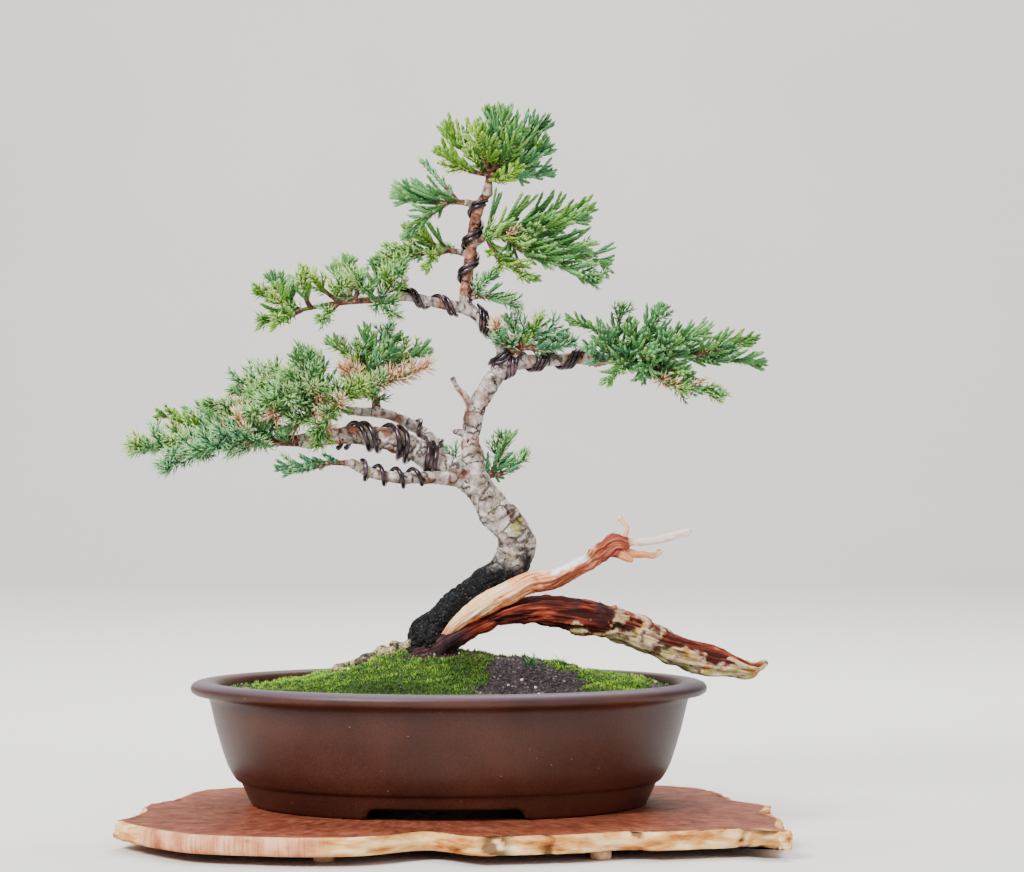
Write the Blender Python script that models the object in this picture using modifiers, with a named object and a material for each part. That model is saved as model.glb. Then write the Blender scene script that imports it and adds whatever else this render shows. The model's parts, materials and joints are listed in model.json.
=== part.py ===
"""Juniper bonsai in an oval stoneware pot on a burl slab.

Lengths are in millimetres in the pot's frame, with x to the right, y away from the front and
z up from the pot's feet. world() turns them into metres in the part's frame, whose origin is
on the surface that the slab stands on, under the middle of the whole.
"""

import math
import random

import bmesh
import bpy
import numpy as np
from mathutils import Vector, noise

# Driving dimensions, in millimetres
MM = 0.001
GAP = 0.3
WELD = 1e-6
UP = Vector((0.0, 0.0, 1.0))

FOOT_HEIGHT = 4.0
SLAB_FOOT_RADIUS = 4.5
SLAB_THICKNESS = 8.0
SLAB_EDGE_ROUND = 1.2
SLAB_EDGE_STEP = 13.0
SLAB_EDGE_ANGLE = 60.0
POT_FEET_Z = FOOT_HEIGHT + SLAB_THICKNESS + 2 * GAP
POT_CENTRE = Vector((-1.5, 16.1, POT_FEET_Z))

POT_DEPTH_RATIO = 0.75
POT_STEPS = 28
FLOOR_TOP = 12.0
FLOOR_FALL = 0.4
FLOOR_UNDERSIDE = 7.0
FOOT_GAP_HEIGHT = 4.8
FOOT_GAP_TOP_WIDTH = 64.0
FOOT_GAP_BOTTOM_WIDTH = 70.0
FOOT_GAP_REACH = 100.0
CUT_PAST = 2.0
DRAIN_RADIUS = 9.0
DRAIN_X = 37.0
SCREEN_RADIUS = 13.0
SCREEN_THICKNESS = 0.8
SCREEN_HOLE = 3.4
SCREEN_PITCH = 5.4

SOIL_EDGE = 50.5
SOIL_BOTTOM = FLOOR_TOP + FLOOR_FALL + SCREEN_THICKNESS + 2 * GAP
SOIL_TOP_RINGS = 5
SOIL_FOOT_INSET = 1.0
TRUNK_HOLE_RADIUS = 11.4
TRUNK_HOLE_HEIGHT = 60.0

WOOD_STEP = 8.8
TRUNK_SIDES = 10
BRANCH_SIDES = 6
DEADWOOD_STEP = 7.5
DEADWOOD_SIDES = 8
DEADWOOD_RELIEF = 1.3
DEADWOOD_GRAIN = 8.0
DEADWOOD_SQUEEZE = 1.7

WIRE_POINTS_PER_TURN = 6
WIRE_SIDES = 8

STUB_RADIUS = 1.5
STUB_SINK = 2.5
CORE_RADIUS = 1.4
TIP_RADIUS = 0.6
CORE_PITCH = 12.0
LEAFY_END = 13.0

NEEDLE_OUT = 3.3
NEEDLE_FORWARD = 4.2
NEEDLE_SHARES = (0.85, 1.1)
WHORL_PITCH = 4.7
TWIG_RADIUS = 0.85
TWIG_TIP_SHARE = 0.55
TWIG_LENGTHS = (0.85, 1.0)
TWIG_ROLLS = (-0.45, 1.05)
TWIG_LEANS = (0.7, 1.1)
TWIG_RISE = 0.16
TWIG_LEAFY_SHARE = 0.75
TWIG_REACH = TWIG_RADIUS + NEEDLE_OUT

READ_STEP = 1.5
ROUTE_STEP = 3.0
END_FACE = 0.25
ATTEMPTS = 24
ATTEMPTS_A_SIDE = 8
SHORT_TWIG_SHARE = 0.75
SMOOTH_ANGLE = 45.0
ROUND_SIDES = 16
SMALL_ROUND_SIDES = 12

# Half sections that are turned into the oval pot, as (radius, height)
POT_INSIDE = ((0.0, FLOOR_TOP), (88.0, FLOOR_TOP + FLOOR_FALL), (95.5, 19.0), (101.0, 33.0),
              (104.2, 50.5), (104.8, 54.4))
POT_LIP = ((106.6, 55.6), (114.6, 55.6), (117.1, 53.8), (117.1, 51.2), (114.8, 49.6),
           (109.4, 49.4))
POT_OUTSIDE = ((106.9, 40.0), (104.0, 29.0), (100.4, 18.0), (96.2, 10.8),
               (94.4, 9.8), (89.4, 0.0), (80.4, 0.0), (80.0, FLOOR_UNDERSIDE),
               (0.0, FLOOR_UNDERSIDE))

# Mounds of the soil's surface as (x, y, height, width across, width deep)
SOIL_MOUNDS = ((-14.0, 2.0, 18.5, 43.0, 40.0), (45.0, 12.0, 9.0, 36.0, 38.0))

# Outline of the burl slab in the pot's frame, anticlockwise from the left end
SLAB_OUTLINE = (
    (-145, -63), (-137, -78), (-127, -89), (-107, -108), (-82, -116), (-58, -120), (-33, -117),
    (-10, -101), (-1, -104), (14, -117), (36, -114), (59, -108), (75, -100), (90, -102),
    (112, -96), (131, -92), (141, -99), (148, -97), (145, -84), (148, -56), (143, -34), (147, -10),
    (138, 4), (132, 14), (129, 38), (120, 58), (99, 71), (66, 68), (34, 73), (0, 70), (-36, 74),
    (-70, 68), (-102, 63), (-121, 49), (-126, 28), (-132, 8), (-140, -10), (-138, -36))
SLAB_FEET = ((-50.0, -100.0), (66.0, -92.0), (84.0, 48.0), (-84.0, 44.0))

# Routes of the wood as (x, y, z, radius)
TRUNK = (
    (-15, 3, 38, 8.5), (-14, 2, 54, 10.0), (-11.5, 1, 69, 9.9), (-6.5, 0.5, 79, 8.3),
    (4, 0, 90, 7.3), (16, 0, 98, 7.2), (25, 0, 105.5, 8.0), (30.5, 0, 113, 8.9), (28.5, 0, 123, 8.3),
    (20, -1, 133.5, 7.4), (14.5, -1, 142.5, 6.7), (11, -1, 150, 6.3), (11, 0, 157, 4.9),
    (9.8, 0, 163.5, 4.4), (10.2, 1, 172, 4.3), (12.7, 2, 179.6, 4.5), (15.5, 3, 185.5, 4.3),
    (19.5, 4, 191.4, 4.3), (23.5, 5, 198, 4.1), (24, 4, 204, 3.5), (20.5, 2, 213.7, 3.0),
    (14, 0, 220, 2.9), (8.2, -1, 225.5, 2.9), (7.4, -2, 231, 2.8), (8.2, -2.5, 237, 2.7),
    (9.3, -3, 247, 2.6), (10.5, -4, 255, 2.6), (11.8, -5, 263.7, 2.5), (14.5, -6, 271.9, 2.3),
    (17.5, -6, 276, 2.0))
LEFT_BRANCH = (
    (12, -1, 144, 5.2), (4, -2, 149.5, 5.6), (-6, -3, 154.8, 5.7), (-17, -5, 161, 5.6),
    (-27, -8, 164.8, 5.0), (-42, -12, 166.5, 4.2), (-52, -14, 166, 3.7), (-62, -16, 164, 3.1))
LEFT_UPPER_BRANCH = (
    (-4, 0, 157, 3.0), (-10, 5, 166.5, 2.9), (-20, 8, 173, 2.6), (-30, 6, 176.8, 2.4),
    (-42, 0, 177.6, 2.1), (-51, -5, 179.5, 1.9))
LEFT_LOWER_BRANCH = (
    (4, -4, 147, 3.2), (-8, -12, 147.5, 2.9), (-22, -18, 147.5, 2.7), (-35, -22, 150, 2.5),
    (-43, -25, 154, 2.2))
LEFT_SECOND_BRANCH = (
    (9, -1, 224, 2.6), (-3, -3, 226, 2.5), (-13, -5, 228.4, 2.3), (-20, -6, 229.5, 2.2),
    (-28, -7, 228, 2.0))
RIGHT_BRANCH = (
    (22, 5, 196, 3.4), (32, 6, 200, 3.2), (45, 7, 201, 3.0), (60, 9, 202, 2.7), (67, 10, 201, 2.5))
JIN = (
    (-3, -5, 75, 1.6), (4, -6.5, 82, 3.5), (16, -7, 90, 4.9), (27, -7, 95.5, 5.3),
    (37, -6, 100, 5.1), (46.5, -6, 101.5, 4.7), (55.5, -6, 105.5, 4.2), (64, -6.5, 110, 3.9),
    (70, -7, 114.5, 4.7), (75, -7, 117, 5.3), (79.5, -7, 116.5, 3.5))
JIN_PRONGS = (
    ((76, -7, 118, 2.7), (78.5, -7, 121.5, 2.0), (80.3, -7.5, 125.5, 1.6), (77, -8, 129.6, 0.9)),
    ((76, -7, 117, 3.3), (83, -7.5, 118.3, 2.4), (96.4, -9, 119.4, 1.9), (109.5, -11, 123.2, 1.0)),
    ((76, -6, 114.5, 3.3), (82.3, -5, 113.2, 2.4), (91.4, -4, 112.3, 1.8), (95.8, -4, 113.8, 1.0)),
    ((77, -8, 113.5, 2.6), (83.2, -10, 109.6, 1.2)))
LOG = (
    (10, -2, 81, 3.2), (20, -3, 85, 5.0), (29, -4, 87, 6.0), (42.7, -5, 88, 7.3),
    (56.8, -6, 85.5, 8.0), (73, -7, 82, 7.3), (84.5, -8, 78, 7.2), (96, -9, 72.8, 6.9),
    (107, -10, 68.8, 7.0), (118, -11, 65.4, 6.7), (128.6, -12, 62.6, 4.9), (136, -12.5, 61.2, 3.0),
    (142.5, -13, 64, 0.9))
SURFACE_ROOT = ((-12, -2, 6.5), (-21, -3, 4.9), (-30, -5, 4.5), (-39, -7, 4.1), (-47, -8, 3.4),
                (-54, -8, 2.2))
DEAD_TWIG = ((10.5, 0, 176, 1.8), (4.5, -1, 186.5, 1.4), (1.5, -2, 192.5, 0.8))
DEAD_STUB = ((9.5, 0, 167, 2.0), (2.5, -2, 168.5, 1.2))

# Coils as (route that carries it, from, to in mm along it, turns, wire radius, first angle)
COILS = {
    "wire_left_branch": (LEFT_BRANCH, 27.0, 68.0, 6, 1.0, 0.6),
    "wire_left_lower": (LEFT_LOWER_BRANCH, 22.0, 46.0, 4, 0.9, 1.2),
    "wire_left_second": (LEFT_SECOND_BRANCH, 10.0, 32.0, 3, 0.75, 0.4),
    "wire_right_branch": (RIGHT_BRANCH, 13.0, 42.0, 5, 0.8, 2.0),
    "wire_trunk_bend": (TRUNK, 199.0, 218.0, 3, 0.9, 2.6),
    "wire_apex_lower": (TRUNK, 229.5, 243.0, 3, 0.8, 1.0),
    "wire_apex_upper": (TRUNK, 256.0, 267.0, 2, 0.8, 0.2),
}

# Each pad as the length of its bare wooden stub, then its twigs: each has its route from where
# it grows to its tip, the number of its side twigs and the length of the longest
PADS = {
    "foliage_apex": (3.0, (
        (((17.5, -6, 276), (18.5, -8, 286), (19, -9, 300), (18.5, -10, 315)), 3, 14),
        (((18.4, -8, 285), (28, -8, 293), (42, -6, 307)), 2, 13),
        (((18.4, -8, 284), (30, -13, 287), (45, -18, 294)), 1, 12),
        (((18.4, -8, 283), (30, 1, 284), (44, 8, 286)), 1, 12),
        (((18.4, -8, 288), (9, -6, 294), (0, -4, 305)), 2, 12),
        (((18.4, -8, 284), (8, -13, 286), (-4, -18, 291)), 1, 12),
        (((18.4, -8, 287), (20, 6, 292), (24, 20, 301)), 1, 12),
        (((18.4, -8, 287), (16, -20, 292), (13, -33, 299)), 1, 12))),
    "foliage_upper_left": (5.0, (
        (((14.5, -6, 271), (4, -8, 272), (-10, -10, 270), (-28, -12, 273)), 3, 13),
        (((0, -8, 271), (-9, -14, 265), (-20, -18, 256)), 1, 10),
        (((4, -8, 272), (-3, -3, 281), (-12, 1, 291)), 0, 8))),
    "foliage_middle_left": (5.0, (
        (((9.4, -3, 249), (-2, 2, 251), (-16, 6, 251), (-32, 9, 247)), 3, 13),
        (((-3, 2, 251), (-11, -3, 256), (-20, -8, 261)), 0, 9))),
    "foliage_upper_right": (5.0, (
        (((10.3, -4, 253), (22, -6, 259), (40, -3, 263), (60, 1, 267)), 4, 14),
        (((20, -5, 258), (34, 6, 254), (52, 12, 251), (72, 15, 246)), 3, 13),
        (((23, -6, 259), (34, -15, 249), (48, -21, 243), (64, -24, 236)), 2, 13),
        (((18, -5, 257), (22, -12, 247), (36, -18, 236)), 1, 11))),
    "foliage_inner_right": (4.5, (
        (((7.5, -2, 229), (17, -9, 229), (29, -13, 225)), 2, 9),)),
    "foliage_left_second": (3.0, (
        (((-28, -7, 228), (-44, -9, 227), (-62, -11, 224), (-82, -13, 219)), 5, 14),
        (((-34, -7, 228), (-37, 4, 233), (-42, 14, 240)), 1, 12),
        (((-37, -8, 228), (-42, -20, 231), (-46, -31, 236)), 1, 12),
        (((-52, -10, 226), (-57, 3, 232), (-62, 12, 240)), 1, 12),
        (((-56, -10, 225), (-65, -22, 226), (-74, -31, 225)), 1, 12))),
    "foliage_mid_left": (6.0, (
        (((-33, 4.5, 177.2), (-35, 0, 189), (-43, -5, 201), (-54, -9, 210)), 2, 12),
        (((-36, -1, 192), (-26, -6, 199), (-10, -12, 205)), 2, 11),
        (((-35, -1, 188), (-26, -14, 191), (-12, -23, 196)), 1, 9),
        (((-36, -1, 193), (-33, 6, 203), (-29, 10, 214)), 1, 11))),
    "foliage_left_ridge": (3.0, (
        (((-51, -5, 179.5), (-62, -6, 187), (-76, -5, 190), (-96, -3, 187)), 3, 14),
        (((-57, -6, 184), (-63, -20, 186), (-76, -34, 182)), 1, 13),
        (((-60, -6, 186), (-68, 9, 190), (-80, 24, 187)), 1, 13),
        (((-56, -6, 184), (-59, 2, 195), (-64, 6, 205)), 0, 12),
        (((-56, -6, 183), (-50, -20, 179), (-55, -31, 170)), 1, 9),
        (((-55, -6, 182), (-47, -14, 184), (-39, -20, 187)), 0, 9))),
    "foliage_left_tip": (3.0, (
        (((-62, -16, 164), (-84, -18, 164), (-110, -20, 163), (-141, -22, 159)), 5, 16),
        (((-72, -17, 164), (-86, -32, 163), (-106, -44, 160)), 2, 13),
        (((-80, -18, 164), (-94, -6, 170), (-114, 5, 176)), 2, 13),
        (((-98, -19, 164), (-110, -31, 158), (-122, -39, 152)), 1, 12),
        (((-74, -17, 164), (-84, -22, 172), (-96, -26, 178)), 1, 12))),
    "foliage_left_under": (3.0, (
        (((-43, -25, 154), (-54, -33, 154), (-72, -42, 152)), 2, 11),)),
    "foliage_right_inner": (6.0, (
        (((29, 5.5, 199), (31, 0, 208), (28, -6, 218)), 1, 9),
        (((31, 0, 208), (39, -6, 212), (50, -9, 213)), 1, 9))),
    "foliage_right_pad": (3.0, (
        (((67, 10, 201), (86, 10, 203), (110, 8, 203), (141, 4, 198)), 5, 15),
        (((78, 10, 202), (88, -2, 196), (102, -11, 189), (118, -17, 184)), 2, 13),
        (((80, 10, 202), (91, 22, 206), (108, 31, 205)), 2, 13),
        (((74, 10, 202), (76, 4, 212), (80, 0, 223)), 1, 11),
        (((88, 10, 203), (98, 2, 210), (113, -4, 216)), 1, 12),
        (((76, 10, 202), (81, -6, 203), (90, -24, 203)), 1, 12))),
    "foliage_behind_trunk": (7.0, (
        (((14, -1, 144), (20, 11, 151), (26, 18, 166)), 2, 10),)),
    "foliage_behind_fork": (9.0, (
        (((8, 0, 149), (2, 14, 156), (-6, 24, 160)), 1, 9),)),
}


def world(point):
    """Turn millimetres in the pot's frame into metres in the part's frame."""
    return (Vector(point[:3]) + POT_CENTRE) * MM


def clear_scene():
    for obj in list(bpy.data.objects):
        bpy.data.objects.remove(obj, do_unlink=True)


def new_collection(name):
    collection = bpy.data.collections.new(name)
    bpy.context.scene.collection.children.link(collection)
    return collection


def principled(name, colour, roughness, metallic=0.0):
    """A plain material; the colour is linear red, green and blue."""
    material = bpy.data.materials.new(name)
    material.use_nodes = True
    shader = material.node_tree.nodes["Principled BSDF"]
    shader.inputs["Base Color"].default_value = (*colour, 1.0)
    shader.inputs["Roughness"].default_value = roughness
    shader.inputs["Metallic"].default_value = metallic
    material.diffuse_color = (*colour, 1.0)
    return material


def link_free(obj):
    """Link a working object to the scene itself, outside the collections."""
    bpy.context.scene.collection.objects.link(obj)
    return obj


def add_part(obj, collection, material, smooth_angle=None):
    """Put a finished sub-part in the object's collection with its own material."""
    for owner in list(obj.users_collection):
        owner.objects.unlink(obj)
    collection.objects.link(obj)
    obj.data.materials.clear()
    obj.data.materials.append(material)
    if smooth_angle is not None:
        obj.data.shade_smooth()
        obj.data.set_sharp_from_angle(angle=math.radians(smooth_angle))
    return obj


def as_mesh(obj, weld=True):
    """Replace an object by its evaluated shape as a plain mesh, with its seams welded."""
    name = obj.name
    depsgraph = bpy.context.evaluated_depsgraph_get()
    mesh = bpy.data.meshes.new_from_object(obj.evaluated_get(depsgraph))
    if weld:
        bm = bmesh.new()
        bm.from_mesh(mesh)
        bmesh.ops.remove_doubles(bm, verts=bm.verts, dist=WELD)
        bm.to_mesh(mesh)
        bm.free()
    matrix = obj.matrix_world.copy()
    bpy.data.objects.remove(obj, do_unlink=True)
    result = link_free(bpy.data.objects.new(name, mesh))
    result.matrix_world = matrix
    return result


def smooth_route(points, step):
    """Catmull-Rom curve through points of any number of values, read about every step mm."""
    knots = [np.array(point, dtype=float) for point in points]
    route = []
    for k in range(len(knots) - 1):
        before, start, end = knots[max(k - 1, 0)], knots[k], knots[k + 1]
        after = knots[min(k + 2, len(knots) - 1)]
        count = max(1, round(float(np.linalg.norm((end - start)[:3])) / step))
        for t in np.arange(count) / count:
            route.append(0.5 * (2 * start + (end - before) * t
                                + (2 * before - 5 * start + 4 * end - after) * t ** 2
                                + (3 * start - before - 3 * end + after) * t ** 3))
    route.append(knots[-1])
    return np.array(route)


def distances(route):
    """Length along a route at each of its points."""
    steps = np.linalg.norm(np.diff(route[:, :3], axis=0), axis=1)
    return np.concatenate(([0.0], np.cumsum(steps)))


def read_route(route, places):
    """The route's values at given lengths along it."""
    along = distances(route)
    return np.stack([np.interp(places, along, route[:, k]) for k in range(route.shape[1])], axis=1)


def tube(name, route, sides):
    """A tube with filled ends along rows of (x, y, z, radius), as a closed mesh."""
    curve = bpy.data.curves.new(name, "CURVE")
    curve.dimensions = "3D"
    curve.bevel_depth = MM
    curve.bevel_resolution = sides // 2 - 2
    curve.use_fill_caps = True
    spline = curve.splines.new("POLY")
    spline.points.add(len(route) - 1)
    for point, row in zip(spline.points, route):
        point.co = (*world(row), 1.0)
        point.radius = row[3]
    return as_mesh(link_free(bpy.data.objects.new(name, curve)))


def keep_main_body(mesh):
    """Drop loose scraps and the skins of sealed hollows, and keep the largest body."""
    bm = bmesh.new()
    bm.from_mesh(mesh)
    unseen = set(bm.faces)
    bodies = []
    while unseen:
        front = [unseen.pop()]
        body = list(front)
        while front:
            for edge in front.pop().edges:
                for face in edge.link_faces:
                    if face in unseen:
                        unseen.remove(face)
                        front.append(face)
                        body.append(face)
        bodies.append(body)
    bodies.sort(key=len)
    for body in bodies[:-1]:
        bmesh.ops.delete(bm, geom=body, context="FACES")
    bm.to_mesh(mesh)
    bm.free()


def fuse(name, pieces, solver="MANIFOLD"):
    """Join closed pieces to one body by one Boolean union on a collection of them."""
    base, others = pieces[0], pieces[1:]
    group = new_collection(name + "_pieces")
    for piece in others:
        group.objects.link(piece)
    modifier = base.modifiers.new("fuse", "BOOLEAN")
    modifier.operation = "UNION"
    modifier.operand_type = "COLLECTION"
    modifier.collection = group
    modifier.solver = solver
    base.name = name
    body = as_mesh(base, weld=False)
    for piece in others:
        bpy.data.objects.remove(piece, do_unlink=True)
    bpy.data.collections.remove(group)
    keep_main_body(body.data)
    return body


def cut(obj, cutters, collection):
    """Cut closed pieces out of a piece, and keep the cutters as guides."""
    for cutter in cutters:
        for owner in list(cutter.users_collection):
            owner.objects.unlink(cutter)
        collection.objects.link(cutter)
        cutter.hide_render = True
        cutter.display_type = "WIRE"
        modifier = obj.modifiers.new("cut", "BOOLEAN")
        modifier.operation = "DIFFERENCE"
        modifier.object = cutter
    return as_mesh(obj)


def turned(name, profile, steps):
    """Turn a half section of (radius, height) pairs and flatten it to the pot's oval."""
    mesh = bpy.data.meshes.new(name)
    points = [(radius * MM, 0.0, height * MM) for radius, height in profile]
    mesh.from_pydata(points, [(k, k + 1) for k in range(len(points) - 1)], [])
    obj = link_free(bpy.data.objects.new(name, mesh))
    screw = obj.modifiers.new("turn", "SCREW")
    screw.steps = steps
    screw.render_steps = steps
    screw.use_merge_vertices = True
    screw.merge_threshold = WELD
    obj = as_mesh(obj)
    for vertex in obj.data.vertices:
        vertex.co.y *= POT_DEPTH_RATIO
        vertex.co += world((0, 0, 0))
    return obj


def cylinder(name, centre, radius, height, sides):
    """A closed upright cylinder; centre is the middle of its underside."""
    bm = bmesh.new()
    bmesh.ops.create_cone(bm, cap_ends=True, segments=sides, radius1=radius * MM,
                          radius2=radius * MM, depth=height * MM)
    bmesh.ops.translate(bm, verts=bm.verts, vec=world(centre) + UP * height * MM / 2)
    mesh = bpy.data.meshes.new(name)
    bm.to_mesh(mesh)
    bm.free()
    return link_free(bpy.data.objects.new(name, mesh))


def prism(name, outline, low, high):
    """A flat outline of (x, y) points with a filled 2D curve, from one height to another."""
    curve = bpy.data.curves.new(name, "CURVE")
    curve.dimensions = "2D"
    curve.fill_mode = "BOTH"
    curve.extrude = (high - low) / 2 * MM
    spline = curve.splines.new("POLY")
    spline.use_cyclic_u = True
    spline.points.add(len(outline) - 1)
    for point, (x, y) in zip(spline.points, outline):
        point.co = (x * MM, y * MM, 0.0, 1.0)
    obj = as_mesh(link_free(bpy.data.objects.new(name, curve)))
    for vertex in obj.data.vertices:
        vertex.co += world((0, 0, (low + high) / 2))
    return obj


def build_slab():
    """The burl slab: a wavy live edge, a little rounded above and below."""
    ring = SLAB_OUTLINE + SLAB_OUTLINE[:1]
    outline = smooth_route([(x, y, 0.0) for x, y in ring], SLAB_EDGE_STEP)[:-1, :2]
    slab = prism("burl_slab", outline, -GAP - SLAB_THICKNESS, -GAP)
    bevel = slab.modifiers.new("worn edge", "BEVEL")
    bevel.width = SLAB_EDGE_ROUND * MM
    bevel.segments = 1
    bevel.limit_method = "ANGLE"
    bevel.angle_limit = math.radians(SLAB_EDGE_ANGLE)
    return slab


def build_slab_feet():
    """Four small round feet set back under the slab."""
    top = -2 * GAP - SLAB_THICKNESS
    return [cylinder(f"slab_foot_{k + 1}", (x, y, top - FOOT_HEIGHT), SLAB_FOOT_RADIUS, FOOT_HEIGHT,
                     SMALL_ROUND_SIDES) for k, (x, y) in enumerate(SLAB_FEET)]


def build_pot(cutters):
    """The oval pot: turned body with a rolled lip, foot ring cut away at front and back."""
    pot = turned("pot", POT_INSIDE + POT_LIP + POT_OUTSIDE, POT_STEPS)
    half_top, half_bottom = FOOT_GAP_TOP_WIDTH / 2, FOOT_GAP_BOTTOM_WIDTH / 2
    slope = (half_bottom - half_top) / FOOT_GAP_HEIGHT
    foot_gap = prism("cut_foot_gap", ((-1, -1), (1, -1), (1, 1), (-1, 1)),
                     -CUT_PAST, FOOT_GAP_HEIGHT)
    for vertex in foot_gap.data.vertices:
        height = (vertex.co.z / MM) - POT_CENTRE.z
        half = half_bottom - slope * height
        side = math.copysign(half, vertex.co.x / MM - POT_CENTRE.x)
        depth = math.copysign(FOOT_GAP_REACH, vertex.co.y / MM - POT_CENTRE.y)
        vertex.co = world((side, depth, height))
    drains = [cylinder(f"cut_drain_{k}", (x, 0, 0), DRAIN_RADIUS, FLOOR_TOP + CUT_PAST, ROUND_SIDES)
              for k, x in enumerate((-DRAIN_X, DRAIN_X))]
    return cut(pot, [foot_gap] + drains, cutters)


def build_screen(name, x, cutters):
    """A drain screen: a round sheet on the pot's floor with a grid of square holes."""
    bottom = FLOOR_TOP + FLOOR_FALL + GAP
    screen = cylinder(name, (x, 0, bottom), SCREEN_RADIUS, SCREEN_THICKNESS, SMALL_ROUND_SIDES)
    holes = []
    for column in (-0.5, 0.5):
        for row in (-0.5, 0.5):
            low_x = x + column * SCREEN_PITCH - SCREEN_HOLE / 2
            low_y = row * SCREEN_PITCH - SCREEN_HOLE / 2
            corners = ((low_x, low_y), (low_x + SCREEN_HOLE, low_y),
                       (low_x + SCREEN_HOLE, low_y + SCREEN_HOLE), (low_x, low_y + SCREEN_HOLE))
            holes.append(prism(f"cut_{name}_{len(holes) + 1}", corners, bottom - CUT_PAST,
                               bottom + SCREEN_THICKNESS + CUT_PAST))
    return cut(screen, holes, cutters)


def soil_height(x, y):
    """Height of the soil's surface: the level at the pot's wall and two soft mounds."""
    height = SOIL_EDGE
    for centre_x, centre_y, rise, width, depth in SOIL_MOUNDS:
        height += rise * math.exp(-((x - centre_x) / width) ** 2 - ((y - centre_y) / depth) ** 2)
    return height


def build_soil(cutters):
    """The soil and its mounds, clear of the pot's wall, with a plain hole for the trunk."""
    wall = [(radius - GAP, height) for radius, height in POT_INSIDE[1:] if height < SOIL_EDGE]
    edge = POT_INSIDE[-2][0] - GAP
    top = [(edge * k / SOIL_TOP_RINGS, SOIL_EDGE) for k in range(SOIL_TOP_RINGS + 1)]
    under = [(wall[0][0] - SOIL_FOOT_INSET, SOIL_BOTTOM), (0.0, SOIL_BOTTOM)]
    soil = turned("soil", top + wall[:0:-1] + under, POT_STEPS)
    for vertex in soil.data.vertices:
        x, y, z = vertex.co / MM - POT_CENTRE
        if z > SOIL_EDGE - GAP:
            vertex.co = world((x, y, soil_height(x, y)))
    low, high = TRUNK[0], TRUNK[2]
    steep = (Vector(high[:3]) - Vector(low[:3])) / (high[2] - low[2])
    start = Vector(low[:3]) - UP * 2 * GAP
    end = start + steep * TRUNK_HOLE_HEIGHT
    route = np.array([(*start, TRUNK_HOLE_RADIUS), (*end, TRUNK_HOLE_RADIUS)])
    return cut(soil, [tube("cut_trunk_hole", route, ROUND_SIDES)], cutters)


def root_route():
    """The surface root, which lies on the soil from the trunk's flare to the left."""
    return [(x, y, soil_height(x, y) + radius + 2 * GAP, radius) for x, y, radius in SURFACE_ROOT]


def weather(mesh):
    """Sink a deadwood surface unevenly with noise, as weathered grain."""
    for vertex in mesh.vertices:
        x, y, z = (vertex.co / MM - POT_CENTRE) / DEADWOOD_GRAIN
        value = noise.noise(Vector((x, y * DEADWOOD_SQUEEZE, z)))
        vertex.co -= vertex.normal * DEADWOOD_RELIEF * MM * (0.5 + 0.5 * value)


def pad_stub(name):
    """The bare wooden start of a pad's first twig, as a route."""
    stub, twigs = PADS[name]
    points = twigs[0][0]
    route = smooth_route([(*point, STUB_RADIUS) for point in points], READ_STEP)
    rows = read_route(route, np.linspace(0.0, stub, 2))
    rows[0] += (rows[0] - rows[1]) * STUB_SINK / np.linalg.norm(rows[0] - rows[1])
    return rows


def build_wood():
    """Trunk, branches, jin and dead trunk as one grown body."""
    pieces = [tube("trunk", smooth_route(TRUNK, WOOD_STEP), TRUNK_SIDES)]
    branches = (LEFT_BRANCH, LEFT_UPPER_BRANCH, LEFT_LOWER_BRANCH, LEFT_SECOND_BRANCH, RIGHT_BRANCH,
                root_route(), DEAD_TWIG, DEAD_STUB) + JIN_PRONGS
    for branch in branches:
        pieces.append(tube("branch", smooth_route(branch, WOOD_STEP), BRANCH_SIDES))
    for deadwood in (JIN, LOG):
        piece = tube("deadwood", smooth_route(deadwood, DEADWOOD_STEP), DEADWOOD_SIDES)
        weather(piece.data)
        pieces.append(piece)
    for name in PADS:
        pieces.append(tube("stub", pad_stub(name), BRANCH_SIDES))
    return fuse("trunk_and_branches", pieces)


def turn_frames(route):
    """Tangent and two cross directions along a route, turned as little as possible."""
    steps = np.gradient(route[:, :3], axis=0)
    tangents = steps / np.linalg.norm(steps, axis=1)[:, None]
    across = []
    side = np.cross(tangents[0], (0.0, 0.0, 1.0))
    if np.linalg.norm(side) < 0.1:
        side = np.array((1.0, 0.0, 0.0))
    for tangent in tangents:
        side = side - tangent * side.dot(tangent)
        side /= np.linalg.norm(side)
        across.append(side)
    across = np.array(across)
    return tangents, across, np.cross(tangents, across)


def coil_route(carrier, start, end, turns, wire_radius, first_angle):
    """A wire wound round a branch: a helix of its radius, the wire's and the gap."""
    count = turns * WIRE_POINTS_PER_TURN + 1
    route = read_route(smooth_route(carrier, READ_STEP), np.linspace(start, end, count))
    tangents, across, upward = turn_frames(route)
    angles = first_angle + np.arange(count) * 2 * math.pi / WIRE_POINTS_PER_TURN
    dip = 1.0 / math.cos(math.pi / WIRE_POINTS_PER_TURN)
    reach = (route[:, 3] + wire_radius + GAP) * dip
    place = route[:, :3] + reach[:, None] * (np.cos(angles)[:, None] * across
                                             + np.sin(angles)[:, None] * upward)
    return np.column_stack((place, np.full(count, wire_radius)))


class Space:
    """Balls round what is placed, by node, so that new twigs can be bent clear of it."""

    def __init__(self):
        self.balls = {}

    @staticmethod
    def rows(route):
        length = distances(route)[-1]
        return read_route(route, np.linspace(0.0, length, max(2, int(length / READ_STEP) + 1)))

    def add(self, name, route, reach=0.0):
        rows = self.rows(route)
        rows[:, 3] += reach
        self.balls.setdefault(name, []).append(rows)

    def is_free(self, name, route, reach):
        """Whether a route keeps its reach and the gap from every other node's balls."""
        rows = self.rows(route)
        for other, parts in self.balls.items():
            if other == name:
                continue
            balls = np.concatenate(parts)
            apart = np.linalg.norm(rows[:, None, :3] - balls[None, :, :3], axis=2)
            if (apart < reach + GAP + balls[None, :, 3]).any():
                return False
        return True


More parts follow.
